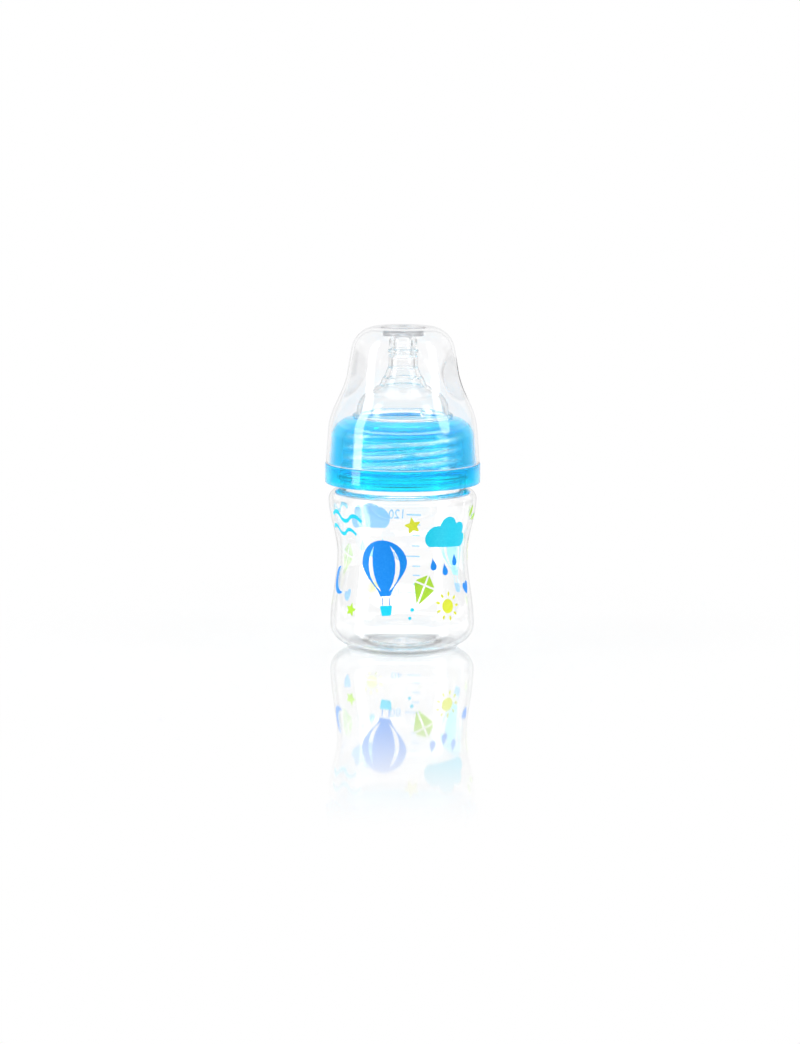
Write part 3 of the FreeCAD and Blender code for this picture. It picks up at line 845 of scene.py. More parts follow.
@dataclass
class Teat:
    """The silicone teat: flange, snap groove, bell, tapered steps, nipple with a feed hole, and air vent."""

    wall: float = 1.5
    flange_thickness: float = 1.6
    collar_radius: float = 24.5
    groove_radius: float = 20.5
    groove_bottom: float = 3.4     # above the flange's top
    groove_width: float = 2.5
    bead_radius: float = 21.3
    bead_width: float = 1.3
    bell_radius: float = 19.7
    bell_draw: float = 1.0
    bell_round: float = 8.0
    bell_shoulder: float = 28.4    # below the tip
    bell_top: float = 22.8         # below the tip
    wall_drop: float = 0.8         # of the hollow below the bell's slope
    steps: tuple[tuple[float, float, float], ...] = ((9.8, 8.5, 3.3), (8.0, 6.5, 4.0), (6.2, 6.1, 5.5))
    step_round: float = 0.6
    neck_groove: tuple[float, float] = (5.4, 0.8)      # radius and width
    neck_bead: tuple[float, float] = (6.4, 1.6)
    nipple_waist: tuple[float, float] = (5.0, 1.0)
    nipple_radius: float = 5.9
    flange_round: float = 0.5
    groove_lip: float = 0.5        # width of the slope's level end above the groove
    groove_round: float = 0.15
    bead_round: float = 0.2
    hollow_drop: float = 0.3       # of the bell's hollow below the bead's top
    feed_hole: float = 0.4
    vent_radius: float = 1.3
    vent_height: float = 0.5
    vent_rounds: tuple[float, float, float] = (0.05, 0.3, 0.12)    # of its foot, its top and its hole
    vent_lift: float = 1.6         # above the bell's bead
    vent_azimuth: float = -65.0
    vent_segments: int = 40
    longest_run: float = 1.2
    segments: int = 128

    def neck_steps(self, height: float, depth: float) -> list[tuple[float, float, float]]:
        """Corners of the tapered steps.

        Args:
            height: Where they start.
            depth: How far inside their outer face they lie.

        Returns:
            Corners with their roundings, from the foot up.
        """
        corners = []
        for foot, top, rise in self.steps:
            corners.append((foot - depth, height, self.step_round))
            height += rise
            corners.append((top - depth, height, self.step_round))
        return corners

    def build(self) -> bmesh.types.BMesh:
        """Turns the teat's section.

        Returns:
            The mesh, in millimetres.
        """
        extent = Extent.of("teat")
        wall, rounding = self.wall, self.step_round
        tip = extent.top
        seat = extent.bottom + SEAT_GAP
        flange_top = extent.bottom + self.flange_thickness - SEAT_GAP
        groove_bottom = flange_top + self.groove_bottom
        foot = groove_bottom + self.groove_width
        shoulder, bell_top = tip - self.bell_shoulder, tip - self.bell_top
        neck_top = bell_top + sum(rise for _, _, rise in self.steps)
        bead_z = neck_top + self.neck_groove[1]
        waist_z = bead_z + self.neck_bead[1]
        nipple_z = waist_z + self.nipple_waist[1]
        bore = self.groove_radius - wall
        nipple_bore = self.nipple_waist[0] - wall
        steps_outside = self.neck_steps(bell_top, 0)
        steps_inside = self.neck_steps(bell_top - self.wall_drop, wall)
        section = Outline(bore, (seat + foot) / 2).through([
            (bore, seat, FOOT_ROUND),
            (extent.radius, seat, self.flange_round),
            (extent.radius, flange_top, self.flange_round),
            (self.collar_radius, flange_top, EDGE_ROUND),
            (self.collar_radius, (flange_top + groove_bottom) / 2, wall),
            (self.groove_radius + self.groove_lip, groove_bottom, self.groove_lip / 2),
            (self.groove_radius, groove_bottom, self.groove_round),
            (self.groove_radius, foot, self.bead_round),
            (self.bead_radius, foot, self.bead_width / 3),
            (self.bead_radius, foot + self.bead_width, self.bead_width / 2),
            (self.bell_radius, foot + self.bead_width, self.bead_width / 3),
            (self.bell_radius - self.bell_draw, shoulder, self.bell_round),
            *steps_outside,
            (self.neck_groove[0], neck_top, rounding),
            (self.neck_groove[0], bead_z, rounding),
            (self.neck_bead[0], bead_z, rounding),
            (self.neck_bead[0], waist_z, rounding),
            (self.nipple_waist[0], waist_z, rounding),
            (self.nipple_waist[0], nipple_z, rounding),
            (self.nipple_radius, nipple_z, (tip - nipple_z) / 3),
            (self.nipple_radius, tip, self.nipple_radius),
            (self.feed_hole, tip, self.feed_hole / 2),
            (self.feed_hole, tip - wall, self.feed_hole / 4),
            (nipple_bore, tip - wall, nipple_bore),
            (nipple_bore, neck_top - self.wall_drop, rounding),
            *reversed(steps_inside),
            (self.bell_radius - self.bell_draw - wall, shoulder - self.wall_drop, self.bell_round - wall),
            (self.bell_radius - wall, foot + self.bead_width - self.hollow_drop, wall),
            (bore, foot, wall),
        ]).close()
        return section.round_corners().refine(self.longest_run).turned(self.segments)

    def vent(self) -> bmesh.types.BMesh:
        """Makes the vent's button: a low round boss with a pinhole, standing on the bell's side.

        Returns:
            The mesh, in millimetres.
        """
        extent = Extent.of("teat")
        foot = extent.bottom + self.flange_thickness
        foot += self.groove_bottom + self.groove_width + self.bead_width
        lift = self.vent_lift
        lean = self.bell_draw / (extent.top - self.bell_shoulder - foot)
        foot_round, top_round, hole_round = self.vent_rounds
        button = Outline(self.feed_hole, 0).through([
            (self.vent_radius, 0, foot_round),
            (self.vent_radius, self.vent_height, top_round),
            (self.feed_hole, self.vent_height, hole_round),
        ]).close().round_corners().turned(self.vent_segments)
        place = Matrix.Rotation(math.radians(self.vent_azimuth), 4, "Z")
        place @= Matrix.Translation((self.bell_radius - lift * lean + SEAT_GAP, 0, foot + lift))
        place @= Matrix.Rotation(math.pi / 2 - math.atan(lean), 4, "Y")
        bmesh.ops.transform(button, matrix=place, verts=button.verts)
        return button

    def dress(self, solid: bmesh.types.BMesh, vent: bmesh.types.BMesh) -> None:
        """Makes the teat and its vent pieces."""
        silicone = Finish.SILICONE.value.material()
        add_piece("teat_silicone", solid, Body.TEAT, [silicone], "teat")
        add_piece("teat_vent", vent, Body.TEAT, [silicone])


@dataclass
class ScrewRing:
    """The transparent blue ring: a domed wall with a thread inside, a sealing rib and a wider band."""

    wall: float = 1.9
    draft: float = 4.2             # degrees
    top_radius: float = 30.45
    bore: float = 28.55
    dome_round: float = 9.0
    opening: float = 20.8
    lip_round: float = 0.7
    rib_radius: float = 24.8
    rib_width: float = 1.4
    rib_foot: float = 5.6          # below the top
    band_height: float = 8.4
    band_wall: float = 1.9
    band_round: float = 0.8
    ledge_round: float = 0.3
    thread_height: float = 1.1
    sink_depth: float = 0.12       # of the shallow marks outside, where the thread's ridges shrank
    sink_width: float = 4.5
    segments: int = 192

    def build(self) -> bmesh.types.BMesh:
        """Turns the ring's section and raises its thread.

        Returns:
            The mesh, in millimetres.
        """
        extent = Extent.of("screw_ring")
        top, bottom, band = extent.top, extent.bottom, extent.radius
        taper = math.tan(math.radians(self.draft))
        ledge = bottom + self.band_height
        ceiling = ledge - self.wall
        foot_radius = self.top_radius + (top - self.dome_round - ledge) * taper
        centre = Vector((self.bore - self.dome_round + self.wall, top - self.dome_round))
        hollow = self.dome_round - self.wall
        rib_outside = self.rib_radius + self.rib_width
        rib_foot = top - self.rib_foot + SEAT_GAP

        def under_dome(radius: float) -> float:
            """The height of the hollow's dome at a radius."""
            return centre.y + math.sqrt(hollow * hollow - (radius - centre.x) ** 2)

        def dome_rise(first: float, last: float) -> float:
            """How far the dome's arc stands out between two radii."""
            turn = math.acos((first - centre.x) / hollow) - math.acos((last - centre.x) / hollow)
            return -hollow * (1 - math.cos(turn / 2))

        section = Outline(band - self.band_wall, (bottom + ceiling) / 2).through([
            (band - self.band_wall, bottom, FOOT_ROUND),
            (band, bottom, self.band_round),
            (band, ledge, self.ledge_round),
            (foot_radius, ledge, self.ledge_round),
            (self.top_radius - self.dome_round * taper, top, self.dome_round),
            (self.opening, top, self.lip_round),
            (self.opening, top - self.wall, EDGE_ROUND),
            (centre.x, top - self.wall, 0),
        ])
        section.bow(self.rib_radius, under_dome(self.rib_radius), dome_rise(centre.x, self.rib_radius))
        section.through([
            (self.rib_radius, rib_foot, EDGE_ROUND),
            (rib_outside, rib_foot, EDGE_ROUND),
            (rib_outside, under_dome(rib_outside), 0),
        ])
        section.bow(self.bore, centre.y, dome_rise(rib_outside, self.bore))
        section.through([
            (self.bore, ceiling, self.band_round),
            (band - self.band_wall, ceiling, self.band_round),
        ]).close()
        thread_bottom, thread_top = ceiling + self.band_round, centre.y
        section.round_corners().refine(LONG_RUN).refine(THREAD_RUN, thread_bottom, thread_top)
        solid = section.turned(self.segments)
        phase = self.phase_between(thread_bottom)
        Thread(self.bore, -self.thread_height, thread_bottom, thread_top, phase).raise_on(solid)
        sink_bottom = ledge + self.ledge_round
        Thread(foot_radius - self.ledge_round * taper, -self.sink_depth, sink_bottom, thread_top,
               self.phase_between(sink_bottom), self.sink_width, run_out=self.sink_width / 4,
               lean=taper).raise_on(solid)
        return solid

    def phase_between(self, thread_bottom: float) -> float:
        """The phase that puts the thread midway between the ridges of the neck's thread.

        Args:
            thread_bottom: The height that the ring's thread is counted from.

        Returns:
            The share of a pitch to shift it by.
        """
        neck = Container()
        neck_bottom = neck.shoulder_height + neck.bead_lift + neck.bead_width + neck.thread_gap
        pitch = Thread.lead / Thread.starts
        return (0.5 + (neck_bottom - thread_bottom) / pitch) % 1.0

    def dress(self, solid: bmesh.types.BMesh) -> None:
        """Makes the ring a piece."""
        extent = Extent.of("screw_ring")
        bottom = extent.bottom + self.band_height + self.ledge_round
        # Pale stripes painted in the ring's threaded wall, as highlights of the lamps
        painted_highlights = ThinStreaks(bottom, extent.top - self.dome_round / 2, self.phase_between(bottom),
                              Thread.lead / Thread.starts, Thread.starts)
        material = Finish.RING.value.material(painted_highlights)
        add_piece("ring_shell", solid, Body.RING, [material], "screw_ring")


@dataclass
class DustCap:
    """The clear cap: a bell of one wall with two thumb scoops, a collar for the nipple and a gate well."""

    wall: float = 1.2
    draft: float = 4.2             # degrees, of the skirt
    skirt_height: float = 19.5
    shoulder_round: float = 25.0
    waist_radius: float = 24.4
    waist_drop: float = 23.8       # below the top
    waist_round: float = 30.0
    top_draw: float = 4.15
    top_round: float = 10.9
    collar_radius: float = 7.4
    collar_wall: float = 1.2
    collar_depth: float = 2.6
    gate_radius: float = 1.6
    gate_depth: float = 0.3
    scoop_radius: float = 18.5
    scoop_depth: float = 2.9
    scoop_lift: float = 6.9        # above the waist
    scoop_azimuth: float = -22.0   # of one; the other is opposite
    scoop_blend: float = 0.5       # softness of the scoop's edge
    scoop_reach: float = 0.3       # least cosine of the turn from its middle that it can have
    rim_round: float = 0.35
    pip_foot: float = 0.3          # radius of the pip in the gate well
    pip_top: float = 0.2
    pip_round: float = 0.1
    longest_run: float = 1.0
    segments: int = 240

    def inside(self, corners: list[tuple[float, float, float]]) -> list[tuple[float, float, float]]:
        """The same run of corners, one wall further in, with arcs about the same centres.

        Args:
            corners: Corners with their roundings, from the rim up; the last is on the axis.

        Returns:
            The inner corners, without the two ends.
        """
        result = []
        for before, here, after in zip(corners, corners[1:], corners[2:]):
            arrive = Vector((here[0] - before[0], here[1] - before[1])).normalized()
            leave = Vector((after[0] - here[0], after[1] - here[1])).normalized()
            sides = Vector((-arrive.y - leave.y, arrive.x + leave.x))
            inner = Vector(here[:2]) + sides * self.wall / (1 + arrive.dot(leave))
            turns_in = arrive.cross(leave) > 0
            result.append((inner.x, inner.y, here[2] - self.wall if turns_in else here[2] + self.wall))
        return result

    def build(self) -> bmesh.types.BMesh:
        """Turns the cap's section and presses its scoops.

        Returns:
            The mesh, in millimetres.
        """
        extent = Extent.of("dust_cap")
        rim, top = extent.bottom + SEAT_GAP, extent.top
        taper = math.tan(math.radians(self.draft))
        ceiling = top - self.wall
        collar_foot = ceiling - self.collar_depth
        collar_outside = self.collar_radius + self.collar_wall
        waist_z = top - self.waist_drop
        skirt_top = extent.radius - self.skirt_height * taper
        bell = [
            (extent.radius, rim, 0.0),
            (skirt_top, extent.bottom + self.skirt_height, self.shoulder_round),
            (self.waist_radius, waist_z, self.waist_round),
            (self.waist_radius - self.top_draw, top, self.top_round),
            (0.0, top, 0.0),
        ]
        section = Outline(0.0, ceiling).through([
            (self.collar_radius, ceiling, EDGE_ROUND),
            (self.collar_radius, collar_foot, FOOT_ROUND),
            (collar_outside, collar_foot, FOOT_ROUND),
            (collar_outside, ceiling, EDGE_ROUND),
            *reversed(self.inside(bell)),
            (extent.radius - self.wall, rim, self.rim_round),
            (extent.radius, rim, self.rim_round),
            *bell[1:-1],
            (self.gate_radius, top, self.gate_depth / 2),
            (self.gate_radius, top - self.gate_depth, self.gate_depth / 2),
            (self.pip_foot, top - self.gate_depth, self.pip_round),
            (self.pip_top, top - self.gate_depth / 3, self.pip_round),
            (0.0, top - self.gate_depth / 3, 0.0),
        ])
        solid = section.round_corners().refine(self.longest_run).turned(self.segments)
        for turn in (0.0, 180.0):
            self.press(solid, self.scoop_azimuth + turn, waist_z + self.scoop_lift)
        return solid

    def press(self, solid: bmesh.types.BMesh, azimuth: float, height: float) -> None:
        """Presses a thumb scoop, part of a level round bar, into both faces of the bell.

        Args:
            solid: The cap.
            azimuth: Where it is, in degrees.
            height: The height of its middle.
        """
        outward = Vector((math.cos(math.radians(azimuth)), math.sin(math.radians(azimuth)), 0.0))
        axis = self.bar_axis()
        for vertex in solid.verts:
            radius = math.hypot(vertex.co.x, vertex.co.y)
            facing = vertex.co.dot(outward) / radius if radius > WELD else 0.0
            inner_face = vertex.normal.x * vertex.co.x + vertex.normal.y * vertex.co.y < 0
            bar = self.scoop_radius + self.wall if inner_face else self.scoop_radius
            away = abs(vertex.co.z - height)
            if facing < self.scoop_reach or away >= bar:
                continue
            limit = (axis - math.sqrt(bar * bar - away * away)) / facing
            blend = max(self.scoop_blend - abs(radius - limit), 0.0) / self.scoop_blend
            pressed = min(radius, limit) - blend * blend * self.scoop_blend / 4
            vertex.co.xy *= pressed / radius

    def bar_axis(self) -> float:
        """How far the axis of the bar that shapes a scoop is from the cap's axis."""
        return self.waist_radius - self.scoop_depth + self.scoop_radius

    def dress(self, solid: bmesh.types.BMesh) -> None:
        """Makes the cap a piece, with its scoops, collar and rim etched."""
        extent = Extent.of("dust_cap")
        etched = EtchedFaces(
            self.scoop_azimuth, self.bar_axis(), extent.top - self.waist_drop + self.scoop_lift,
            self.scoop_radius, self.collar_radius + self.collar_wall, extent.top - self.wall,
            extent.bottom + self.rim_round)
        material = Finish.CAP.value.material(etched)
        add_piece("cap_shell", solid, Body.CAP, [material], "dust_cap")


class Surface:
    """The outside of the container, to lay the print on."""

    reach = 60.0                   # from the axis, outside the bottle

    def __init__(self, solid: bmesh.types.BMesh) -> None:
        """Keeps a copy of the container's faces to search."""
        self.tree = BVHTree.FromBMesh(solid)

    def at(self, azimuth: float, height: float) -> tuple[Vector, Vector]:
        """Finds a point of the outside.

        Args:
            azimuth: Degrees from +X.
            height: Millimetres above the standing rim.

        Returns:
            The point and the direction out of the surface.
        """
        turn = math.radians(azimuth)
        outward = Vector((math.cos(turn), math.sin(turn), 0.0))
        point, normal, _, _ = self.tree.ray_cast(outward * self.reach + Vector((0, 0, height)), -outward)
        return point, normal

    def radius(self, azimuth: float, height: float) -> float:
        """The container's radius at a place."""
        return self.at(azimuth, height)[0].xy.length


@dataclass
class InkLayer:
    """One ink of the print, on the container's outside: flat shapes are sliced, laid on and made thick."""

    ink: Ink
    surface: Surface
    slice_across: float = 1.0
    slice_up: float = 2.0
    gap: float = 0.02              # between the wall and the ink, so their skins stay apart
    thickness: float = 0.04

    def __post_init__(self) -> None:
        """Starts with no shapes."""
        self.shapes = bmesh.new()

    def lay(self, flat: bmesh.types.BMesh, azimuth: float, height: float, tilt: float = 0.0) -> None:
        """Lays a flat shape on the container, and uses it up.

        Args:
            flat: The shape, in the XZ plane, about its own middle.
            azimuth: Where its middle goes, in degrees.
            height: Where its middle goes, above the standing rim.
            tilt: Degrees that it is turned by, against the clock.
        """
        turned = Matrix.Rotation(-math.radians(tilt), 3, "Y")
        bmesh.ops.rotate(flat, cent=(0, 0, 0), matrix=turned, verts=flat.verts)
        for axis, step in ((0, self.slice_across), (2, self.slice_up)):
            normal = Vector((axis == 0, 0, axis == 2))
            low = min(vertex.co[axis] for vertex in flat.verts)
            high = max(vertex.co[axis] for vertex in flat.verts)
            for cut in range(math.ceil(low / step), math.floor(high / step) + 1):
                bmesh.ops.bisect_plane(flat, geom=flat.verts[:] + flat.edges[:] + flat.faces[:], dist=WELD,
                                       plane_co=normal * cut * step, plane_no=normal)
        lift = self.gap + self.thickness
        for vertex in flat.verts:
            z = height + vertex.co.z
            turn = math.degrees(vertex.co.x / self.surface.radius(azimuth, z))
            point, normal = self.surface.at(azimuth + turn, z)
            vertex.co = point + normal * lift
        flat.normal_update()
        if any(face.normal.dot(face.calc_center_median() * Vector((1, 1, 0))) < 0 for face in flat.faces):
            bmesh.ops.reverse_faces(flat, faces=flat.faces)
        copy = bpy.data.meshes.new("shape")
        flat.to_mesh(copy)
        flat.free()
        self.shapes.from_mesh(copy)
        bpy.data.meshes.remove(copy)

    def dress(self, name: str) -> None:
        """Gives the ink its thickness and makes it a piece; its inner side shows the paler back."""
        bmesh.ops.solidify(self.shapes, geom=self.shapes.faces[:], thickness=self.thickness)
        self.shapes.normal_update()
        for face in self.shapes.faces:
            inward = face.normal.dot(face.calc_center_median() * Vector((1, 1, 0))) < 0
            face.material_index = int(inward)
        add_piece(name, self.shapes, Body.CONTAINER, self.ink.materials())


class Motif(Enum):
    """The shapes of the print, all of the sky and the garden."""

    BALLOON = "balloon"
    BASKET = "basket"
    CLOUD = "cloud"
    STAR = "star"
    MOON = "moon"
    DROP = "drop"
    LEAF = "leaf"
    KITE = "kite"
    BREEZE = "breeze"
    SUN = "sun"
    HEART = "heart"
    DOT = "dot"

    def outline(self) -> Outline:
        """Draws the shape about its middle, in millimetres.

        Returns:
            The outline of its edges and holes.
        """
        return getattr(self, f"_{self.value}")()

    def _balloon(self) -> Outline:
        """An envelope with three gores, drawn in to its mouth, and two ropes."""
        edge = Outline(-2.2, -10.5).to(2.2, -10.5, 0.5).curve(9.5, 3.0, (1.0, 4.5), (0.0, 5.5))
        edge.bow(-9.5, 3.0, 9.0).curve(-2.2, -10.5, (0.0, -5.5), (1.0, -4.5)).close()
        for side in (-1, 1):
            edge.start(side * 1.6, -8.6).bow(side * 3.4, 9.6, side * 2.2).bow(side * 1.6, -8.6, -side * 4.0)
            edge.start(side * 1.4, -11.2).to(side * 1.4 + 0.35, -11.2).to(side * 1.4 + 0.35, -14.2)
            edge.to(side * 1.4, -14.2).close()
        return edge

    def _basket(self) -> Outline:
        """A small tapered basket."""
        return Outline(-1.9, -2.0).to(1.9, -2.0, 0.7).to(2.5, 2.0, 0.4).to(-2.5, 2.0, 0.4).close()

    def _cloud(self) -> Outline:
        """A flat foot under four round heads."""
        edge = Outline(-8.0, -5.0).to(8.5, -5.0).bow(9.0, 1.0, 3.0).bow(3.5, 5.0, 2.6)
        return edge.bow(-5.0, 4.0, 3.6).bow(-8.0, -5.0, 4.2).close()

    def _star(self) -> Outline:
        """Five soft points."""
        edge = None
        for i in range(10):
            turn, reach, rounding = math.pi * (0.5 + i / 5), *((3.2, 0.35) if i % 2 == 0 else (1.45, 0.25))
            place = reach * math.cos(turn), reach * math.sin(turn)
            edge = edge.to(*place, rounding) if edge else Outline(*place)
        return edge.close()

    def _moon(self) -> Outline:
        """A thick crescent."""
        return Outline(2.5, 5.5).bow(2.5, -5.5, 8.0).bow(2.5, 5.5, -4.6).close()

    def _drop(self) -> Outline:
        """A rain drop."""
        return Outline(0.0, 3.2).curve(-1.5, -0.6, (-0.3, -1.3), (0.0, -1.0), 8).bow(1.5, -0.6, 1.5).curve(
            0.0, 3.2, (0.0, 1.0), (-0.3, 1.3), 8).close()

    def _leaf(self) -> Outline:
        """Two arcs that meet in points."""
        return Outline(0.0, -2.8).bow(0.0, 2.8, 1.1).bow(0.0, -2.8, 1.1).close()

    def _kite(self) -> Outline:
        """A kite of four panels."""
        edge, gap, middle = None, 0.4, 1.6
        for side in (-1, 1):
            for spar, tip in ((middle + gap, 6.0), (middle - gap, -7.0)):
                edge = edge.start(side * gap, tip) if edge else Outline(side * gap, tip)
                edge.to(side * gap, spar).to(side * 4.8, spar, 0.4).close()
        return edge

    def _breeze(self) -> Outline:
        """A waving line with round ends."""
        half, rise = 0.9, 1.5
        edge = Outline(-9.0, -half)
        for i, x in enumerate((-3.0, 3.0, 9.0)):
            edge.bow(x, -half, rise if i % 2 else -rise)
        edge.bow(9.0, half, half)
        for i, x in enumerate((3.0, -3.0, -9.0)):
            edge.bow(x, half, -rise if i % 2 else rise)
        return edge.bow(-9.0, -half, half).close()

    def _sun(self) -> Outline:
        """A disc with a ring of short rays."""
        edge = Outline(-2.7, 0.0).bow(2.7, 0.0, 2.7).bow(-2.7, 0.0, 2.7).close()
        for i in range(9):
            ray = Vector((math.cos(math.tau * i / 9), math.sin(math.tau * i / 9)))
            near, far = ray * 3.7, ray * 5.6
            edge.start(*near).bow(*far, 0.5).bow(*near, 0.5).close()
        return edge

    def _heart(self) -> Outline:
        """A plain heart."""
        edge = Outline(0.0, -2.6).bow(2.6, 0.9, 0.5).bow(0.0, 1.4, 1.5)
        return edge.bow(-2.6, 0.9, 1.5).bow(0.0, -2.6, 0.5).close()

    def _dot(self) -> Outline:
        """A round dot."""
        return Outline(-1.1, 0.0).bow(1.1, 0.0, 1.1).bow(-1.1, 0.0, 1.1).close()


@dataclass(frozen=True)
class FillScale:
    """The printed scale: a long line with its number for each full measure, and short lines between them."""

    azimuth: float = 74.3
    measures: tuple[int, ...] = (40, 80, 120)          # millilitres
    step: int = 10
    line_width: float = 0.55
    long_line: float = 6.0
    short_line: float = 3.0
    number_size: float = 5.2
    number_gap: float = 4.6        # from the lines' end to the number's middle

    def number(self, measure: int) -> bmesh.types.BMesh:
        """Draws a number.

        Args:
            measure: What it says.

        Returns:
            The flat mesh, about its middle.
        """
        words = bpy.data.curves.new("number", "FONT")
        words.body, words.size = str(measure), self.number_size
        words.align_x, words.align_y = "CENTER", "CENTER"
        holder = bpy.data.objects.new("number", words)
        flat = bmesh.new()
        flat.from_mesh(holder.to_mesh())
        bpy.data.objects.remove(holder)
        bpy.data.curves.remove(words)
        bmesh.ops.remove_doubles(flat, verts=flat.verts, dist=WELD)
        upright = Matrix.Rotation(math.pi / 2, 3, "X")
        bmesh.ops.rotate(flat, cent=(0, 0, 0), matrix=upright, verts=flat.verts)
        return flat

    def lay_on(self, layer: InkLayer, container: Container, surface: Surface) -> None:
        """Lays the scale on the container.

        Args:
            layer: The ink that it is printed in.
            container: The container, for how high its fillings stand.
            surface: The container's outside.
        """
        half = self.line_width / 2
        for fill in range(self.measures[0], self.measures[-1] + self.step, self.step):
            height = container.fill_height(fill, surface)
            length = self.long_line if fill in self.measures else self.short_line
            line = Outline(0.0, -half).to(length, -half).bow(length, half, half)
            line.to(0.0, half).bow(0.0, -half, half).close()
            layer.lay(line.filled(), self.azimuth, height)
            if fill in self.measures:
                number, beside = self.number(fill), self.long_line + self.number_gap
                bmesh.ops.translate(number, vec=(beside, 0.0, 0.0), verts=number.verts)
                layer.lay(number, self.azimuth, height)


@dataclass(frozen=True)
class Spot:
    """Where a shape of the print goes."""

    motif: Motif
    ink: Ink
    azimuth: float
    height: float
    tilt: float = 0.0
    size: float = 1.0


@dataclass
class SkyPrint:
    """The print all round the container: balloons, clouds, kites and small things of the sky, and a scale."""

    spots: tuple[Spot, ...] = (
        Spot(Motif.BALLOON, Ink.BLUE, -106.0, 37.0, 5.0, 1.05),
        Spot(Motif.BASKET, Ink.CYAN, -103.0, 20.0, 5.0, 1.05),
        Spot(Motif.CLOUD, Ink.CYAN, -50.0, 51.0, -4.0),
        Spot(Motif.DROP, Ink.BLUE, -62.0, 38.5, 8.0),
        Spot(Motif.DROP, Ink.BLUE, -50.0, 36.0, 8.0),
        Spot(Motif.DROP, Ink.BLUE, -38.0, 39.5, 8.0),
        Spot(Motif.STAR, Ink.SUN, -82.0, 56.0, 12.0, 1.25),
        Spot(Motif.STAR, Ink.LIME, -136.0, 19.0, -10.0),
        Spot(Motif.KITE, Ink.LIME, -72.0, 29.0, -24.0),
        Spot(Motif.DOT, Ink.CYAN, -82.0, 20.5, 0.0, 0.7),
        Spot(Motif.DOT, Ink.CYAN, -84.0, 17.0, 0.0, 0.6),
        Spot(Motif.BREEZE, Ink.CYAN, -142.0, 58.0, -4.0, 1.0),
        Spot(Motif.BREEZE, Ink.CYAN, -148.0, 52.0, -4.0, 0.9),
        Spot(Motif.SUN, Ink.SUN, -50.0, 21.0, 0.0, 1.1),
        Spot(Motif.MOON, Ink.BLUE, -158.0, 30.0, 20.0),
        Spot(Motif.LEAF, Ink.LIME, -22.0, 60.0, -35.0),
        Spot(Motif.LEAF, Ink.LIME, -14.0, 57.0, -70.0),
        Spot(Motif.HEART, Ink.BLUE, -22.0, 27.0, 12.0),
        Spot(Motif.MOON, Ink.SUN, 8.0, 42.0, -15.0),
        Spot(Motif.BALLOON, Ink.CYAN, 34.0, 39.0, -5.0),
        Spot(Motif.BASKET, Ink.BLUE, 31.0, 23.0, -5.0),
        Spot(Motif.STAR, Ink.LIME, 12.0, 19.0, 8.0),
        Spot(Motif.STAR, Ink.SUN, 10.0, 58.0, -8.0),
        Spot(Motif.CLOUD, Ink.BLUE, 120.0, 52.0, 4.0, 0.9),
        Spot(Motif.DROP, Ink.CYAN, 108.0, 39.5, -8.0),
        Spot(Motif.DROP, Ink.CYAN, 119.0, 37.0, -8.0),
        Spot(Motif.DROP, Ink.CYAN, 130.0, 40.0, -8.0),
        Spot(Motif.SUN, Ink.SUN, 117.0, 21.0),
        Spot(Motif.KITE, Ink.LIME, 155.0, 36.0, 22.0, 1.1),
        Spot(Motif.BREEZE, Ink.CYAN, 160.0, 58.0, 5.0, 0.9),
        Spot(Motif.HEART, Ink.BLUE, 146.0, 19.0, -10.0),
        Spot(Motif.LEAF, Ink.LIME, 176.0, 20.0, 30.0),
    )
    scale: FillScale = FillScale()

    def lay_all(self, container: Container, surface: Surface) -> None:
        """Lays every shape in its ink and makes one piece of each ink.

        Args:
            container: The container, for how high its fillings stand.
            surface: The container's outside.
        """
        layers = {ink: InkLayer(ink, surface) for ink in Ink}
        self.scale.lay_on(layers[Ink.BLUE], container, surface)
        for spot in self.spots:
            flat = spot.motif.outline().filled()
            bmesh.ops.scale(flat, vec=(spot.size,) * 3, verts=flat.verts)
            layers[spot.ink].lay(flat, spot.azimuth, spot.height, spot.tilt)
        for ink, layer in layers.items():
            layer.dress(f"print_{ink.name.lower()}")


@dataclass(frozen=True)
class PhotoCamera:
    """The camera of the photograph, found by fitting the bottle's outline."""

    place: tuple[float, float, float] = (-1.06, -1300.0, 237.95)
    aim: tuple[float, float, float] = (-1.06, 0.0, 53.4)
    roll: float = 0.0035           # radians, against the clock
    focal_pixels: float = 3082.0
    image_height: float = 1044.0   # pixels, the long side
    sensor: float = 36.0
    sight: float = 20.0            # metres that it sees

    def build(self) -> None:
        """Adds the camera and makes it the scene's."""
        data = bpy.data.cameras.new("photo_camera")
        data.sensor_width = self.sensor
        data.lens = self.focal_pixels / self.image_height * self.sensor
        data.clip_end = self.sight
        camera = bpy.data.objects.new("photo_camera", data)
        place, aim = Vector(self.place) * MM, Vector(self.aim) * MM
        camera.location = place
        camera.rotation_mode = "QUATERNION"
        camera.rotation_quaternion = (aim - place).to_track_quat("-Z", "Y") @ Quaternion(UP, self.roll)
        bpy.context.scene.collection.objects.link(camera)
        bpy.context.scene.camera = camera


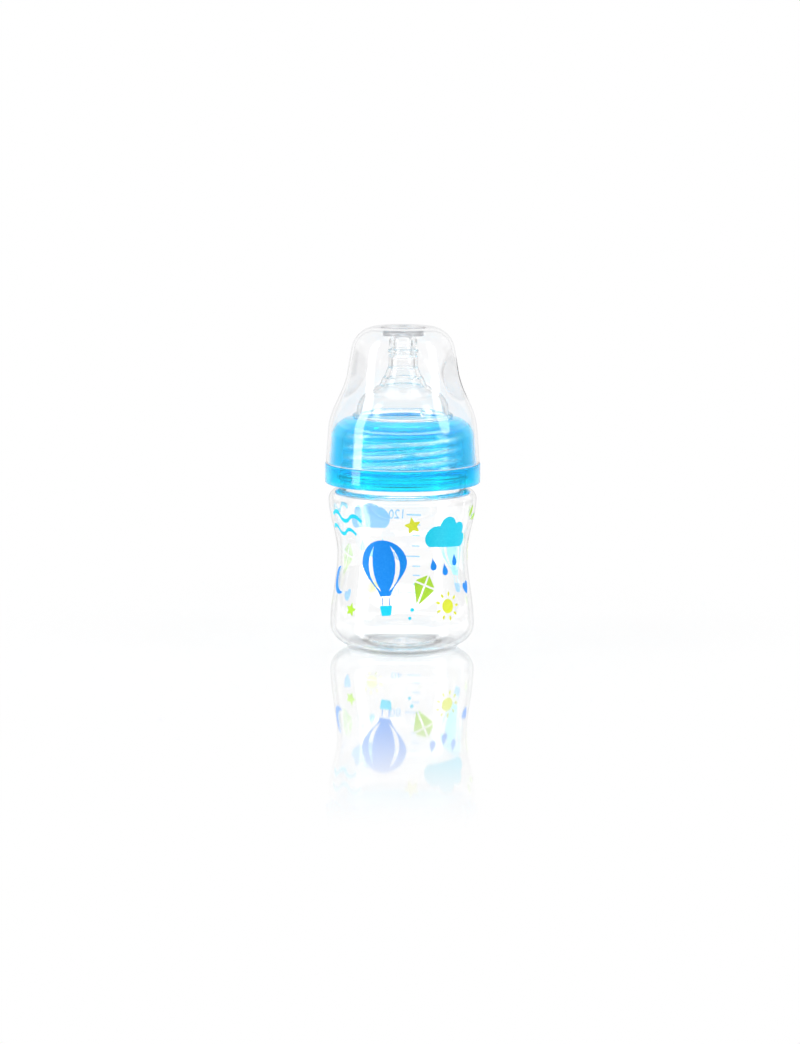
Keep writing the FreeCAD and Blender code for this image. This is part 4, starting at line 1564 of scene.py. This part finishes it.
@dataclass(frozen=True)
class Softbox:
    """A lamp with an even white face, aimed at the bottle's middle."""

    name: str
    azimuth: float                 # degrees
    elevation: float
    distance: float                # metres
    width: float
    height: float
    radiance: float                # of its face, where 1 is white
    rounded: bool = False          # an oval face in place of a straight one
    mirrored: bool = True          # whether gloss shows it

    def build(self, aim: Vector) -> None:
        """Adds the lamp."""
        data = bpy.data.lights.new(self.name, "AREA")
        data.shape = "ELLIPSE" if self.rounded else "RECTANGLE"
        data.size, data.size_y = self.width, self.height
        area = self.width * self.height * (math.pi / 4 if self.rounded else 1.0)
        data.energy = self.radiance * math.pi * area
        turn, rise = math.radians(self.azimuth), math.radians(self.elevation)
        outward = Vector((math.cos(turn) * math.cos(rise), math.sin(turn) * math.cos(rise), math.sin(rise)))
        lamp = bpy.data.objects.new(self.name, data)
        lamp.location = aim + outward * self.distance
        lamp.rotation_mode = "QUATERNION"
        lamp.rotation_quaternion = (-outward).to_track_quat("-Z", "Y")
        lamp.visible_camera = False
        lamp.visible_glossy = self.mirrored
        bpy.context.scene.collection.objects.link(lamp)


@dataclass(frozen=True)
class Studio:
    """A white room, two softboxes beside the bottle, one above it, and a polished white table."""

    softboxes: tuple[Softbox, ...] = (
        Softbox("left_strip", -162.0, 14.0, 0.9, 0.25, 0.9, 6.0),
        Softbox("right_softbox", -20.0, 22.0, 1.0, 0.32, 0.7, 5.0, rounded=True),
        Softbox("top_softbox", 90.0, 78.0, 1.0, 0.7, 0.7, 1.5, mirrored=False),
    )
    ambient: float = 0.66          # light of the room on matt surfaces
    low: tuple[tuple[float, float], ...] = (           # the room in gloss and glass, from front to back
        (0.0, 0.6), (0.47, 0.6), (0.55, 0.35), (0.78, 0.35), (0.9, 1.0))
    lit: tuple[tuple[float, float], ...] = (           # the same at the height of the white panel in front
        (0.0, 5.5), (0.28, 5.5), (0.42, 1.0), (1.0, 1.0))
    sky: tuple[tuple[float, float], ...] = (           # the same above the panel
        (0.0, 0.8), (0.4, 0.9), (0.6, 0.9), (0.85, 1.0))
    panel_foot: tuple[float, float] = (0.08, 0.1)      # sine of the elevation where the panel starts, is full
    panel_head: tuple[float, float] = (0.16, 0.2)      # and where it starts to end, ends
    bounces: int = 40                                  # of light in the clear walls
    matt_bounces: int = 12
    polish: float = 0.66                               # share of the table's mirror image beside the bottle
    polish_fade: tuple[float, float] = (0.12, 0.33)    # metres from the axis where it starts to fade and ends
    white: float = 0.35                                # share of plain white in the table beside the bottle
    white_fade: tuple[float, float] = (0.05, 0.22)     # metres from the axis where it starts to grow and is 1
    contact: float = 0.65                              # painted shadow: light left where the standing rim meets the table
    contact_radius: float = 0.0161
    contact_fade: tuple[float, float] = (0.002, 0.01)  # metres from there where the painted shadow fades and ends
    table_radius: float = 0.45
    table_segments: int = 96
    table_roughness: float = 0.04

    def build(self) -> None:
        """Adds the room, the lamps and the table."""
        low, high = CAD_BOX
        for softbox in self.softboxes:
            softbox.build((low + high) / 2)
        self.room()
        self.table()
        cycles = bpy.context.scene.cycles
        cycles.max_bounces = cycles.transmission_bounces = cycles.glossy_bounces = self.bounces
        cycles.diffuse_bounces = self.matt_bounces
        cycles.caustics_reflective = cycles.caustics_refractive = True
        cycles.blur_glossy = 0.0
        bpy.context.scene.view_settings.view_transform = "Standard"

    def room(self) -> None:
        """Makes the world: white to the camera, dark at the sides in gloss and glass, soft on matt skins."""
        world = bpy.data.worlds.new("white_room")
        world.use_nodes = True
        tree = world.node_tree
        tree.nodes.clear()
        rays = add_node(tree, "ShaderNodeLightPath")
        parts = add_node(tree, "ShaderNodeSeparateXYZ", {
            0: add_node(tree, "ShaderNodeTexCoord").outputs["Generated"]})
        to_back = add_node(tree, "ShaderNodeMapRange", {
            "Value": parts.outputs["Y"], "From Min": -1.0, "From Max": 1.0}).outputs["Result"]
        ramps = []
        for levels in (self.low, self.lit, self.sky):
            ramp = add_node(tree, "ShaderNodeValToRGB", {"Fac": to_back})
            stops = ramp.color_ramp.elements
            for place, _ in levels[1:-1]:
                stops.new(place)
            for stop, (place, level) in zip(stops, levels):
                stop.position, stop.color = place, (level, level, level, 1.0)
            ramps.append(ramp.outputs["Color"])
        seen_room = ramps[0]
        for band, above in ((self.panel_foot, ramps[1]), (self.panel_head, ramps[2])):
            share = share_within(tree, ((parts.outputs["Z"], *band),))
            seen_room = add_node(tree, "ShaderNodeMix", {0: share, 6: seen_room, 7: above},
                                 data_type="RGBA").outputs[2]
        white = linear("#FFFFFF")
        light = add_node(tree, "ShaderNodeBackground", {"Color": white, "Strength": self.ambient}).outputs[0]
        for ray, colour in (("Glossy", seen_room), ("Transmission", seen_room), ("Camera", white)):
            seen = add_node(tree, "ShaderNodeBackground", {"Color": colour, "Strength": 1.0}).outputs[0]
            light = add_node(tree, "ShaderNodeMixShader", {
                0: rays.outputs[f"Is {ray} Ray"], 1: light, 2: seen}).outputs[0]
        add_node(tree, "ShaderNodeOutputWorld", {"Surface": light})
        bpy.context.scene.world = world

    def table(self) -> None:
        """Makes the table: a mirror image that fades away from the bottle, and a painted shadow at the rim.
        """
        disc = bmesh.new()
        bmesh.ops.create_circle(disc, cap_ends=True, segments=self.table_segments, radius=self.table_radius)
        mesh = bpy.data.meshes.new("white_table")
        disc.to_mesh(mesh)
        disc.free()
        # Polished acrylic: it mirrors the bottle as still water does, and further off it is plain white
        material = bare_material("white acrylic sheet, polished")
        tree = material.node_tree
        place = add_node(tree, "ShaderNodeTexCoord").outputs["Object"]
        away = add_node(tree, "ShaderNodeVectorMath", {0: place}, operation="LENGTH").outputs["Value"]
        off_rim = away
        for operation, inputs in (("SUBTRACT", {1: self.contact_radius}), ("ABSOLUTE", {})):
            off_rim = add_node(tree, "ShaderNodeMath", {0: off_rim, **inputs}, operation=operation).outputs[0]
        polish, white, contact = (add_node(tree, "ShaderNodeMapRange", {
            "Value": value, "From Min": near, "From Max": far, "To Min": first, "To Max": last,
        }, interpolation_type="SMOOTHSTEP").outputs["Result"] for value, (near, far), first, last in (
            (away, self.polish_fade, self.polish, 0.0), (away, self.white_fade, self.white, 1.0),
            (off_rim, self.contact_fade, self.contact, 1.0)))
        matt = add_node(tree, "ShaderNodeBsdfDiffuse", {"Color": linear("#F6F6F6")}).outputs["BSDF"]
        # The painted shadow at the rim dims both the plain white and the mirror image
        plain = add_node(tree, "ShaderNodeEmission", {
            "Color": linear("#FFFFFF"), "Strength": contact}).outputs["Emission"]
        sheet = add_node(tree, "ShaderNodeMixShader", {0: white, 1: matt, 2: plain}).outputs[0]
        mirror = add_node(tree, "ShaderNodeBsdfAnisotropic", {
            "Color": contact, "Roughness": self.table_roughness}).outputs["BSDF"]
        glossy = add_node(tree, "ShaderNodeMixShader", {0: polish, 1: sheet, 2: mirror}).outputs[0]
        add_node(tree, "ShaderNodeOutputMaterial", {"Surface": glossy})
        mesh.materials.append(material)
        table = bpy.data.objects.new("white_table", mesh)
        bpy.context.scene.collection.objects.link(table)


def main() -> None:
    """Builds the camera, the studio and the bottle."""
    logging.basicConfig(level=logging.INFO, format="%(name)s: %(message)s")
    PhotoCamera().build()
    Studio().build()
    container, teat, ring, cap = Container(), Teat(), ScrewRing(), DustCap()
    body = container.build()
    surface = Surface(body)
    SkyPrint().lay_all(container, surface)
    container.dress(body)
    teat.dress(teat.build(), teat.vent())
    ring.dress(ring.build())
    cap.dress(cap.build())


if __name__ == "__main__":
    main()
